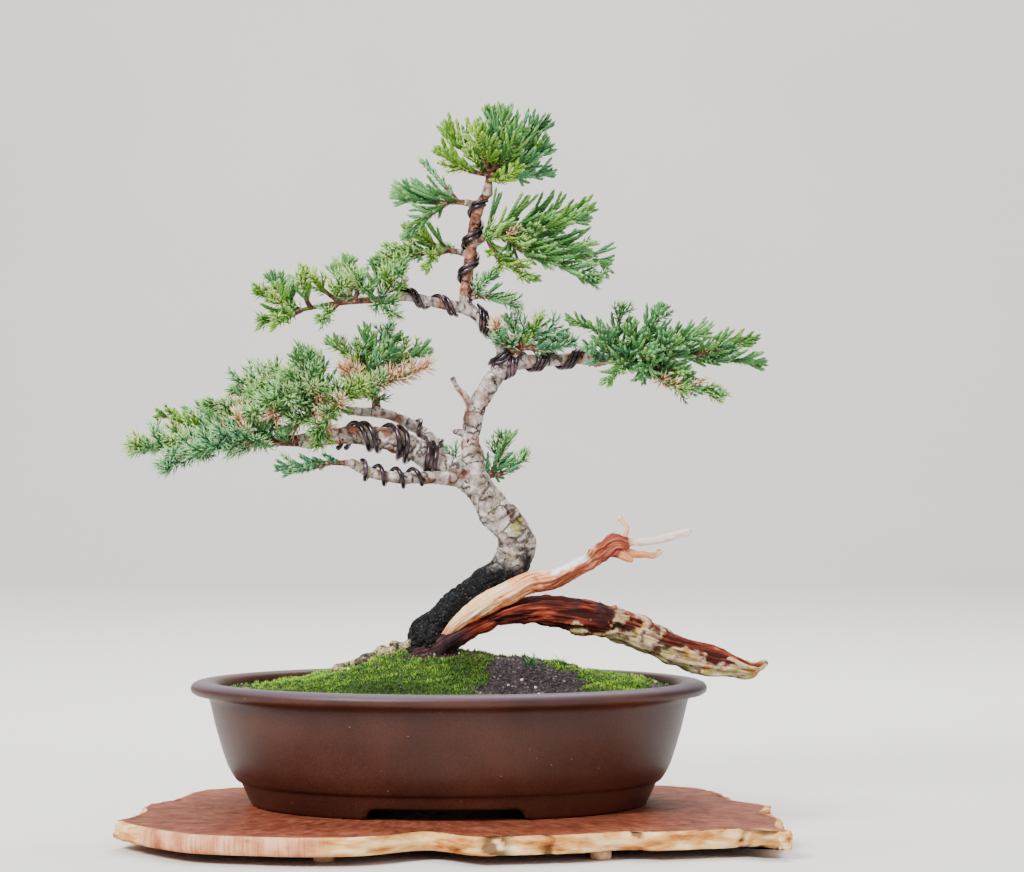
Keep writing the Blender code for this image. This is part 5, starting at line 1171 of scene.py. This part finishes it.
def torn_fibres(seed, depth):
    """Relief of stripped wood: flutes as 1 - |n| of a noise n in the angle round the route that
    changes slowly along it, twice as deep and once finer, as torn fibres leave it."""
    def relief(points, along, angle, radius):
        twisted = angle + along / GRAIN_TWIST
        ring = np.stack((along / 26.0, 1.6 * np.cos(twisted), 1.6 * np.sin(twisted)), axis=-1)
        fine = np.stack((along / 12.0, 4.6 * np.cos(twisted), 4.6 * np.sin(twisted)), axis=-1)
        flutes = 1 - np.abs(ripples(ring, 1.3, seed))
        fibres = 1 - np.abs(ripples(fine, 1.3, seed + 1))
        size = np.clip(radius / 4.5, 0.25, 1.5)
        return depth * size * (0.75 * flutes + 0.35 * fibres - 0.9) + 0.05 * ripples(points, 1.0, seed + 2)
    return relief


def prong_knobs(seed):
    """Relief of a thin dead prong: shallow torn fibres with low knobs every 4 mm or so."""
    def relief(points, along, angle, radius):
        return torn_fibres(seed, 0.5)(points, along, angle, radius) + 0.16 * ripples(points, 4.0, seed + 9)
    return relief


def build_jin(material):
    """The stripped dead branch and its prongs: swept tubes with torn fibres. Its look has a painted
    white highlight on top past the fork, orange below as painted shade and its own orange at the
    ends, and brown at the knot that the prongs leave and as painted shade on the underside."""
    def relief(points, along, angle, radius):
        knobs = rise(along, 70.0, 80.0) * (0.9 * ripples(points, 8.0, 203) + 0.25 * ripples(points, 3.0, 204))
        return torn_fibres(201, 1.3)(points, along, angle, radius) + knobs

    surfaces = [swept(smooth_route(JIN, 0.6), 72, relief)]
    points, _, (along, angle, _) = surfaces[0]
    above = -np.sin(angle)
    wander = 0.3 * ripples(points, 9.0, 221) + 0.15 * ripples(points, 3.0, 222)
    # Painted highlight: white on the top side from 52 to 80 mm along
    white = rise(above + wander, 0.1, 0.4) * rise(along, 52.0, 59.0) * rise(along, 80.0, 74.0)
    # Orange: painted shade on the lower side, and the wood's own orange past 50 mm and at the ends
    orange = np.maximum(rise(wander - above, 0.25, 0.85), 0.75 * rise(along + 12 * wander, 50.0, 62.0))
    ends = np.maximum(rise(along, 9.0, 3.0), 0.8 * rise(along + 12 * wander, 36.0, 46.0))
    orange = np.maximum(orange, ends)
    # Brown: the knot that the prongs leave, and painted shade on the very underside and on the lower half
    # from 48 mm on
    knot = np.maximum(rise(along + 9 * wander, 75.0, 81.0), 0.75 * rise(wander - above, 0.95, 1.25))
    knot = np.maximum(knot, 0.85 * rise(wander - above, -0.2, 0.2) * rise(along + 10 * wander, 48.0, 57.0))
    looks = [np.stack((white, orange, knot * (1 - white)), axis=1)]
    for k, prong in enumerate(JIN_PRONGS):
        surfaces.append(swept(smooth_route(prong, 0.5), 30, prong_knobs(211 + k), dome=0.6))
        along = surfaces[-1][2][0]
        share = along / along.max()
        start = rise(share, 0.3, 0.05)
        orange = (0.55 * rise(share, 0.85, 0.3), 0.3 * rise(share, 0.6, 0.3), 0.95 * rise(share, 0.95, 0.85),
                  1.0 + 0.0 * share)[k]
        # The second prong has some of the painted highlight all along it
        white = (0.0, 0.45, 0.0, 0.0)[k] + 0.0 * share
        looks.append(np.stack((white * (1 - start), np.maximum(orange, start), start), axis=1))
    points, faces, (along, angle, height) = merge(surfaces)
    grain = np.stack((along, (angle + along / GRAIN_TWIST) * 4.5, height), axis=1)
    piece = new_piece("stripped_dead_branch", points, faces, material,
                      fields={"look": np.concatenate(looks), "grain": grain})
    return settle(piece, "juniper_wood", "trunk_and_branches")


def log_bark(points, along, angle):
    """Where old bark is left on the dead trunk, 0 to 1: past 60 mm, first on its lower side,
    less a bare stripe on top near the end."""
    wander = 0.5 * ripples(points, 13.0, 232) + 0.25 * ripples(points, 4.0, 235)
    above = -np.sin(angle)
    left = rise(along + 24 * wander + 5 * ripples(points, 2.6, 239) - 9 * above, 61.0, 68.0)
    stripe = rise(above + 0.6 * wander, 0.1, 0.35) * rise(along + 8 * wander, 92.0, 97.0)
    return left * (1 - stripe * rise(along, 139.0, 135.0))


def build_log(material):
    """The dead trunk that reaches over the rim: heartwood with ragged old bark on its far half,
    and splinters at its end."""
    def relief(points, along, angle, radius):
        bark = log_bark(points, along, angle)
        torn = points * np.array((0.16, 1.0, 1.0))
        plates = np.tanh(2.2 * ripples(torn, 4.4, 233)) + 0.5 * np.tanh(2.0 * ripples(torn, 2.0, 236))
        base = torn_fibres(231, 1.5)(points, along, angle, radius)
        return base * (1 - 0.5 * bark) + bark * (0.6 + 0.42 * plates + 0.5 * ripples(points, 12.0, 238))

    surfaces = [swept(smooth_route(LOG, 0.6), 90, relief, dome=1.5)]
    points, _, (along, angle, _) = surfaces[0]
    bark = log_bark(points, along, angle)
    above = -np.sin(angle)
    # Painted shade: dark patches, mostly on the top side, over the first 60 to 78 mm where the stripped
    # branch lies over the log
    dark = 0.9 * rise(ripples(points * np.array((0.6, 1.0, 1.6)), 9.0, 234) + 0.7 * above, 0.55, 1.2)
    dark = dark * rise(along, 78.0, 60.0)
    middle = np.interp(points[:, 0], np.array(LOG)[:, 0], np.array(LOG)[:, 2])
    green = rise(middle - points[:, 2] + 4 * ripples(points, 8.0, 237), -1.0, 4.0)
    looks = [np.stack((bark, dark, green), axis=1)]
    foot = swept(smooth_route(LOG_FOOT, 0.7), 48, cracked_bark(251, 0.9))
    surfaces.append(foot)
    none = np.zeros(len(foot[0]))
    looks.append(np.column_stack((none, rise(foot[0][:, 0], 14.0, 4.0), none)))
    for k, knots in enumerate(LOG_SPLINTERS):
        surfaces.append(swept(smooth_route(knots, 0.6), 14, torn_fibres(241 + k, 0.8), dome=1.5))
        looks.append(np.tile((1.0, 0.0, 0.0), (len(surfaces[-1][0]), 1)))
    points, faces, (along, angle, height) = merge(surfaces)
    grain = np.stack((along, (angle + along / GRAIN_TWIST) * 7.0, height), axis=1)
    piece = new_piece("dead_trunk", points, faces, material,
                      fields={"look": np.concatenate(looks), "grain": grain})
    return settle(piece, "juniper_wood", "trunk_and_branches")


def build_wire(name, material):
    """Wires wound round branches: helices at the branch's radius plus the wire's, each strand a
    gap further along, with rounded ends. The angle is the length along from where a strand
    crosses the front, over the pitch, in turns."""
    surfaces = []
    for carrier, start, end, pitch, strands, gap, radius, front in WINDINGS[name]:
        route_on = smooth_route(carrier, 1.0)
        _, across, upward = turn_frames(route_on)
        at_front = np.argmin(np.abs(distances(route_on) - front))
        first_angle = np.arctan2(-upward[at_front, 1], -across[at_front, 1])
        count = int(22 * (end - start) / abs(pitch)) + 1
        for strand in range(strands):
            along = np.linspace(start, end, count) + (strand - (strands - 1) / 2) * gap
            angle = first_angle + (np.linspace(start, end, count) - front) / pitch * TURN
            row = read_route(np.hstack((route_on, across, upward)), along)
            way = turned(angle, row[:, 4:7], row[:, 7:10])
            place = row[:, :3] + (row[:, 3] + radius + WIRE_GAP)[:, None] * unit(way)
            surfaces.append(swept(np.column_stack((place, np.full(count, radius))), 12))
    points, faces, _ = merge(surfaces)
    return settle(new_piece(name + "_strands", points, faces, material), "anodised_wire", name)


def bells(x, y, places, level=0.0):
    """A level plus a bell-shaped bump of each (x, y, amount, width across, width deep)."""
    total = np.full(np.shape(x), level)
    for centre_x, centre_y, amount, width, depth in places:
        total = total + amount * np.exp(-((x - centre_x) / width) ** 2 - ((y - centre_y) / depth) ** 2)
    return total


def moss_share(x, y):
    """How much moss grows at a place, 0 to 1: bell-shaped patches and a noise, taken softly."""
    place = np.stack((x, y, np.zeros(np.shape(x))), axis=-1)
    amount = bells(x, y, MOSS_PATCHES, 0.12) + 0.2 * ripples(place, 14.0, 301)
    amount = amount + 0.2 * ripples(place, 5.5, 302) + 0.1 * ripples(place, 2.2, 305)
    return rise(amount, 0.2, 0.52)


def ground(x, y):
    """Height of the soil with its moss cushions and low bumps, which fade out at the pot's wall."""
    inside = rise(np.hypot(x, y / POT_DEPTH_RATIO), SOIL_RADIUS, SOIL_RADIUS - 7)
    place = np.stack((x, y, np.zeros(np.shape(x))), axis=-1)
    share = moss_share(x, y)
    extra = bells(x, y, MOSS_CUSHIONS) + 0.5 * ripples(place, 16.0, 303) + 0.35 * ripples(place, 5.5, 304)
    extra = extra + 0.8 * share + 0.3 * (1 - share) * ripples(place, 2.6, 306)
    return soil_height(x, y) + inside * extra


def build_soil(material):
    """The soil: rings of the pot's oval on the ground's height, then down the pot's inner wall."""
    angle = np.linspace(0, TURN, 260, endpoint=False)
    wall = np.array([(radius - 0.4, height) for radius, height in POT_SECTION[2:9] if height > SOIL_BOTTOM])
    wall = wall[wall[:, 1] < SOIL_EDGE]
    bottom = [(radius, SOIL_BOTTOM) for radius in (30.0, 60.0, wall[0, 0] - 2.0)]
    top = SOIL_RADIUS * np.linspace(1, 0.01, 84) ** 0.9
    radii = np.concatenate((np.array(bottom)[:, 0], wall[:, 0], top))
    levels = np.concatenate((np.array(bottom)[:, 1], wall[:, 1], np.zeros(len(top))))
    x = radii[:, None] * np.cos(angle)
    y = radii[:, None] * np.sin(angle) * POT_DEPTH_RATIO
    z = np.broadcast_to(levels[:, None], x.shape).copy()
    z[-len(top):] = ground(x[-len(top):], y[-len(top):])
    zero = np.zeros(1)
    points, faces = closed_grid(np.stack((x, y, z), axis=-1), np.array((0.0, 0.0, SOIL_BOTTOM)),
                                np.array((0.0, 0.0, float(ground(zero, zero)[0]))))
    look = np.zeros((len(points), 3))
    look[:, 0] = moss_share(points[:, 0], points[:, 1]) * (points[:, 2] > SOIL_EDGE - 3)
    look[:, 1] = bells(points[:, 0], points[:, 1], ((-7, -9, 1.0, 15, 8),))
    return settle(new_piece("soil_and_mounds", points, faces, material, fields={"look": look}),
                  "mossy_soil", "soil")


def scattered(count, chance, rng):
    """Seeded places in the pot's oval, kept with a chance that depends on the place."""
    radius = (SOIL_RADIUS - 1.5) * np.sqrt(rng.random(count))
    angle = rng.uniform(0, TURN, count)
    x, y = radius * np.cos(angle), radius * np.sin(angle) * POT_DEPTH_RATIO
    keep = rng.random(count) < chance(x, y)
    return x[keep], y[keep]


def build_moss(material):
    """Moss: upright stems as slim three-sided pyramids, 1 to 2.4 mm tall, that lean a little."""
    rng = np.random.default_rng(311)
    x, y = scattered(MOSS_STEMS_TRIED, moss_share, rng)
    count = len(x)
    base = np.stack((x, y, ground(x, y) - 0.35), axis=1)
    patch = ripples(base, 6.0, 312)
    tall = rng.uniform(0.9, 1.9, count) * (1 + 0.35 * np.tanh(patch))
    tip = base + np.stack((rng.normal(0, 0.45, count), rng.normal(0, 0.45, count), tall), axis=1)
    turn = rng.uniform(0, TURN, count)
    wide = rng.uniform(0.34, 0.55, count)
    corners = [base + np.stack((wide * np.cos(turn + a), wide * np.sin(turn + a), 0 * turn), axis=1)
               for a in (0, TURN / 3, TURN * 2 / 3)]
    points = np.stack(corners + [tip], axis=1)
    shape = np.array([(0, 2, 1), (0, 1, 3), (1, 2, 3), (2, 0, 3)])
    faces = repeated(shape, 4, count)
    olive = np.clip(bells(x, y, MOSS_OLIVE), 0, 1)
    # Painted shade darkens the stems in the listed patches
    shade = 0.72 + 0.2 * patch + 0.12 * rng.normal(size=count) - 0.75 * bells(x, y, MOSS_PAINTED_SHADE)
    shade = np.clip(shade + 0.15 * ripples(base, 2.4, 314), 0.15, 1.0)
    tone = 0.3 + 0.28 * ripples(base, 15.0, 313) + 0.12 * rng.normal(size=count)
    tone = np.clip(tone + 0.6 * bells(x, y, MOSS_CUSHIONS[:1]) / MOSS_CUSHIONS[0][2], 0, 1)
    # Each stem's three foot corners get shade 0: painted shade, nearly black, between the stems
    leaf = np.stack((np.outer(shade, (0.0, 0.0, 0.0, 1.0)).ravel(), np.repeat(tone, 4),
                     np.repeat(olive, 4)), axis=1)
    piece = new_piece("moss_tufts", points.reshape(-1, 3), [faces], material, fields={"leaf": leaf})
    return settle(piece, "mossy_soil", "soil")


def twenty_faces():
    """Points and faces of a regular solid with twenty faces: its twelve points are (0, 1, golden
    ratio) with each sign, rolled over the axes, and three neighbours make a face."""
    golden = (1 + 5 ** 0.5) / 2
    shape = unit(np.array([np.roll((0, s, t * golden), -k) for k in range(3) for s in (-1, 1)
                           for t in (-1, 1)]))
    step = np.linalg.norm(shape[:, None] - shape[None, :], axis=-1)
    near = (step > 0.1) & (step < 1.2)
    corners = np.array([(a, b, c) for a in range(12) for b in range(a + 1, 12) for c in range(b + 1, 12)
                        if near[a, b] and near[b, c] and near[a, c]])
    first, second, third = (shape[corners[:, k]] for k in range(3))
    flip = (np.cross(second - first, third - first) * first).sum(axis=1) < 0
    corners[flip] = corners[flip][:, ::-1]
    return shape, corners


def build_grit(material):
    """Grit on the soil: twenty-faced grains of 0.7 to 2.4 mm, squashed and turned at random."""
    rng = np.random.default_rng(321)
    x, y = scattered(GRIT_GRAINS_TRIED, lambda x, y: 0.5 * (1 - moss_share(x, y)) ** 1.5 + 0.02, rng)
    stones = np.array(((-52, -12), (-48, -15), (-45, -13), (33, -26), (27, -35), (39, -34)))
    x, y = np.concatenate((stones[:, 0], x)), np.concatenate((stones[:, 1], y))
    count = len(x)
    shape, corners = twenty_faces()
    size = 0.5 * np.clip(rng.lognormal(0.2, 0.36, count), 0.7, 2.4)
    size[:len(stones)] = rng.uniform(0.8, 1.3, len(stones))
    axes = np.linalg.qr(rng.normal(size=(count, 3, 3)))[0]
    squash = rng.uniform(0.6, 1.1, (count, 1, 3))
    grains = shape[None] * squash * rng.uniform(0.78, 1.15, (count, 12, 1)) * size[:, None, None]
    grains = grains @ axes
    centre = np.stack((x, y, ground(x, y) + 0.25 * size), axis=1)
    points = (grains + centre[:, None, :]).reshape(-1, 3)
    faces = repeated(corners, 12, count)
    tint = np.clip(0.88 * rng.beta(1.8, 1.9, count) + (rng.random(count) < 0.012) * 1.0, 0, 1)
    tint[:len(stones)] = 1.0
    piece = new_piece("soil_grit", points, [faces], material, smooth=False,
                      fields={"tint": np.repeat(tint, 12)})
    return settle(piece, "mossy_soil", "soil")


def build_grass(material):
    """A tuft of grass: flat blades that rise and bow outwards, wide at a third of their length."""
    rng = np.random.default_rng(331)
    surfaces = []
    for centre, count, reach in (((37.0, -4.0), 16, 5.5), ((50.0, 2.0), 6, 4.0)):
        for _ in range(count):
            x, y = np.array(centre) + rng.normal(0, reach / 2.4, 2)
            z = float(ground(np.array([x]), np.array([y]))[0]) - 0.5
            way, out, tall = rng.uniform(0, TURN), rng.uniform(2.0, 7.0), rng.uniform(4.0, 9.0)
            knots = [(x + out * s ** 2 * np.cos(way), y + out * s ** 2 * np.sin(way),
                      z + tall * s * (1 - 0.25 * s), width)
                     for s, width in ((0, 0.22), (0.35, 0.3), (0.7, 0.24), (1.0, 0.08))]
            surfaces.append(swept(smooth_route(knots, 1.2), 6, squash=0.35))
    points, faces, (along, _, _) = merge(surfaces)
    none = np.zeros(len(points))
    # The first channel is painted shade: the blades are darker towards their foot
    leaf = np.stack((np.clip(along / 14.0, 0.0, 0.6), none + 0.3, none), axis=1)
    piece = new_piece("grass_blades", points, faces, material,
                      fields={"leaf": leaf, "brown": none, "reach": none})
    return settle(piece, "mossy_soil", "soil")


def build_pot(material):
    """The pot: its half section turned to an oval whose depth is three quarters of its width,
    with the foot ring raised to the gap's height where |x| is inside the gap."""
    angle = np.linspace(0, TURN, 256, endpoint=False)
    wall = smooth_route([(radius, 0.0, height) for radius, height in POT_SECTION[1:-2]], 1.5)[:, (0, 2)]
    section = np.concatenate((((20, 12.05),), wall, ((60, 7.0), (20, 7.0))))[::-1]
    x = section[:, :1] * np.cos(angle)
    y = section[:, :1] * np.sin(angle) * POT_DEPTH_RATIO
    z = np.broadcast_to(section[:, 1:], x.shape)
    inside = rise(FOOT_GAP_BOTTOM - np.abs(x), 0.0, FOOT_GAP_BOTTOM - FOOT_GAP_TOP)
    z = np.maximum(z, FOOT_GAP_HEIGHT * inside)
    points, faces = closed_grid(np.stack((x, y, z), axis=-1), np.array((0.0, 0.0, POT_SECTION[-1][1])),
                                np.array((0.0, 0.0, POT_SECTION[0][1])))
    pot = new_piece("stoneware_pot", points, faces, material)
    for index, (drain_x, radius) in enumerate(DRAINS):
        route = np.array([(drain_x, 0, height, radius) for height in (4.0, 6.8, 9.6, 16.0)])
        points, faces, _ = swept(route, 48, dome=0.02)
        cutter = new_piece(f"drain_cutter_{index}", points, faces, material)
        hole = pot.modifiers.new("drain", "BOOLEAN")
        hole.object, hole.operation, hole.solver = cutter, "DIFFERENCE", "EXACT"
    graph = bpy.context.evaluated_depsgraph_get()
    mesh = bpy.data.meshes.new_from_object(pot.evaluated_get(graph))
    pot.modifiers.clear()
    pot.data = mesh
    for index in range(len(DRAINS)):
        bpy.data.objects.remove(bpy.data.objects[f"drain_cutter_{index}"], do_unlink=True)
    place = np.empty(3 * len(mesh.vertices), dtype=np.float32)
    mesh.vertices.foreach_get("co", place)
    place = place.reshape(-1, 3) / MM - POT_CENTRE
    radius = np.hypot(place[:, 0], place[:, 1] / POT_DEPTH_RATIO)
    # Painted reflection: a share on the outer top of the lip, tinted lilac in the material
    painted_lip_reflection = rise(place[:, 2], 52.6, 55.2) * rise(radius, 106.5, 111.0)
    mesh.attributes.new("painted_lip_reflection", "FLOAT", "POINT").data.foreach_set("value", painted_lip_reflection.astype(np.float32))
    return settle(pot, "brown_stoneware", "pot")


def edge_shares(outline):
    """How sawn, calm, knobbly and burred the slab's edge is at each point of its outline: soft
    steps of the place, and bell curves at the dark pockets of the front."""
    front = rise(outline[:, 1], -60.0, -84.0)
    sawn = front * rise(outline[:, 0], -44.0, -58.0) * rise(outline[:, 0], -134.0, -126.0)
    calm = 1 - 0.75 * front * rise(outline[:, 0], -62.0, -50.0) * rise(outline[:, 0], 14.0, 6.0)
    knobs = rise(outline[:, 0], 118.0, 134.0) + rise(outline[:, 0], -120.0, -134.0)
    burrs = sum(np.exp(-((outline[:, 0] - x) / width) ** 2) for x, width in SLAB_POCKETS) * front
    return sawn, calm, knobs, burrs


def edge_lumps(place, level, knobs):
    """How far in the live edge goes for its lumps, a fine roughness and the crumbs of its knobs."""
    lumps = 0.5 + 0.5 * np.tanh(1.6 * ripples(place * np.array((1, 1, 1.8)), 11.0, 341))
    fine = 0.5 + 0.5 * ripples(place, 2.4, 343)
    crumbs = knobs * np.abs(ripples(place, 5.0, 346))
    return 1.9 * lumps * (0.35 + 0.65 * level) + 0.4 * fine + 1.8 * crumbs


def edge_pockets(place, calm, burrs):
    """How deep the live edge's pockets are: small ones where a noise is high, and the burrs."""
    pocket = 0.4 * np.clip(ripples(place * np.array((1, 1, 1.5)), 9.0, 342) - 1.1, 0, 1.2) * calm
    return pocket + 0.75 * burrs * rise(ripples(place * np.array((1, 1, 2.0)), 8.0, 345), -0.9, 0.5)


def build_slab(material):
    """The burl slab: its outline scaled about a middle point in rings, flat above and below,
    with a live edge whose lumps and pockets go inwards, and a sawn stretch at the front left."""
    ring = [(x, y, 0.0) for x, y in SLAB_OUTLINE + SLAB_OUTLINE[:1]]
    outline = smooth_route(ring, 1.3)[:-1, :2]
    middle = np.array((0.0, -20.0))
    ahead, behind = np.roll(outline, -1, axis=0), np.roll(outline, 1, axis=0)
    outward = unit(ahead - behind)[:, ::-1] * np.array((1.0, -1.0))
    sawn, calm, knobs, burrs = edge_shares(outline)
    rows, look = [], []
    for share in (0.08, 0.25, 0.45, 0.65, 0.82, 0.93):
        rows.append((middle + share * (outline - middle), np.full(len(outline), SLAB_UNDERSIDE)))
        look.append((0.0, 0))
    for inset, level in EDGE_PROFILE:
        height = SLAB_UNDERSIDE + (SLAB_TOP - SLAB_UNDERSIDE) * level
        place = np.column_stack((outline, np.full(len(outline), height)))
        rough = edge_lumps(place, level, knobs)
        pocket = edge_pockets(place, calm, burrs)
        inwards = inset + (1 - sawn) * calm * rough + 2.0 * (1 - sawn) * pocket
        rows.append((outline - outward * inwards[:, None], np.full(len(outline), height)))
        look.append((1.0, -2.3 * pocket))
    for share in np.concatenate(((0.965,), np.linspace(0.93, 0.05, 22))):
        flat = middle + share * (outline - middle)
        waves = ripples(np.column_stack((flat, np.zeros(len(flat)))), 22.0, 344)
        height = SLAB_TOP - 0.12 * (1 + waves) * 0.5
        rows.append((flat, height))
        look.append((0.0, 0))
    grid = np.stack([np.column_stack((flat, height)) for flat, height in rows])
    points, faces = closed_grid(grid, np.array((*middle, SLAB_UNDERSIDE)),
                                np.array((*middle, SLAB_TOP - 0.06)))
    side = np.concatenate([np.full(len(outline), side) for side, _ in look] + [np.zeros(2)])
    live = np.concatenate([1 - sawn for _ in look] + [np.zeros(2)])
    pockets = np.concatenate([np.broadcast_to(depth, len(outline)) for _, depth in look] + [np.zeros(2)])
    away = points[:, :2] - np.array((-18.0, -4.0))
    far = np.linalg.norm(away, axis=1, keepdims=True)
    ray = np.hstack((9.0 * away / np.maximum(far, 1.0), far / 28.0))
    along = np.concatenate([distances(np.column_stack((outline, 0 * outline))) for _ in look] + [np.zeros(2)])
    piece = new_piece("burl_wood_slab", points, faces, material,
                      fields={"look": np.stack((side, live, pockets), axis=1), "ray": ray,
                              "grain": np.stack((along, points[:, 2], pockets), axis=1)})
    return settle(piece, "burl_wood", "burl_slab")


def build_slab_foot(index, material):
    """A small turned foot: its half section, rounded above and below, carried round its axis."""
    x, y = SLAB_FEET[index]
    section = np.array(FOOT_SECTION)
    angle = np.linspace(0, TURN, 40, endpoint=False)
    grid = np.stack((x + section[:, :1] * np.cos(angle), y + section[:, :1] * np.sin(angle),
                     np.broadcast_to(SLAB_FOOT_BOTTOM + section[:, 1:], (len(section), len(angle)))), axis=-1)
    points, faces = closed_grid(grid, np.array((x, y, SLAB_FOOT_BOTTOM)),
                                np.array((x, y, SLAB_FOOT_BOTTOM + SLAB_FOOT_HEIGHT)))
    return settle(new_piece(f"turned_foot_{index + 1}", points, faces, material), "slab_foot_wood",
                  f"slab_foot_{index + 1}")


def build_stage(material):
    """The studio floor: a plain sheet that lies flat just under the feet and curves up far
    behind, as a flat stretch, a quarter circle and an upright stretch carried sideways."""
    bottom, reach, bend = -float(POT_CENTRE[2]) - 0.05, 2600.0, 1500.0
    phi = np.linspace(0, np.pi / 2, 33)
    y = np.concatenate(((-3000.0,), reach + bend * np.sin(phi), (reach + bend,)))
    z = np.concatenate(((0.0,), bend * (1 - np.cos(phi)), (3600.0,))) + bottom
    x = np.array((-4500.0, 4500.0))
    grid = np.stack(np.broadcast_arrays(x[None, :], y[:, None], z[:, None]), axis=-1)
    row = 2 * np.arange(len(y) - 1)
    faces = np.stack((row, row + 1, row + 3, row + 2), axis=1)
    floor = new_piece("floor", grid.reshape(-1, 3), [faces], material)


def add_light(name, place, size, power, target):
    """A soft square light in metres that faces a target."""
    light = bpy.data.lights.new(name, "AREA")
    light.energy, light.size = power, size
    lamp = bpy.data.objects.new(name, light)
    bpy.context.scene.collection.objects.link(lamp)
    lamp.location = place
    aim = Vector(target) - Vector(place)
    lamp.rotation_euler = aim.to_track_quat("-Z", "Y").to_euler()


def build_view():
    """The camera at the photograph's viewing angle, a pale world and the soft lights."""
    scene = bpy.context.scene
    camera = bpy.data.cameras.new("view")
    camera.sensor_width, camera.lens, camera.shift_y = SENSOR_WIDTH, LENS_LENGTH, VIEW_SHIFT
    holder = bpy.data.objects.new("view", camera)
    scene.collection.objects.link(holder)
    holder.location = CAMERA_PLACE
    holder.rotation_euler = (np.pi / 2, 0.0, 0.0)
    scene.camera = holder
    scene.world = bpy.data.worlds.new("studio")
    scene.world.use_nodes = True
    sky = scene.world.node_tree.nodes["Background"].inputs
    sky["Color"].default_value = paint("#f4f4f2")
    sky["Strength"].default_value = 0.5
    for light in LIGHTS:
        add_light(*light)


bark = bark_material()
jin = jin_material()
heartwood = heartwood_material()
leaves = foliage_material()
wire = wire_material()
moss = moss_material()

for index, name in enumerate(PADS):
    build_foliage(name, 401 + index, leaves)
build_live_wood(bark)
build_jin(jin)
build_log(heartwood)
for name in WINDINGS:
    build_wire(name, wire)
build_soil(soil_material())
build_moss(moss)
build_grit(grit_material())
build_grass(leaves)
build_pot(stoneware_material())
build_slab(burl_material())
foot_wood = plain_material("turned_beech", "#c79a74", "#e3bd98", 3.0, 0.5, 0.05)
for index in range(len(SLAB_FEET)):
    build_slab_foot(index, foot_wood)
mesh_plastic = plain_material("moulded_black_polyethylene", "#141414", "#242526", 1.5, 0.5, 0.05)
for name in ("drain_screen_left", "drain_screen_right"):
    for slot in frame["nodes"][name].material_slots:
        slot.material = mesh_plastic
build_stage(plain_material("pale_floor", "#dddbd7", "#e2e0dc", 900.0, 0.9, 0.0))
build_view()

bpy.context.view_layer.update()
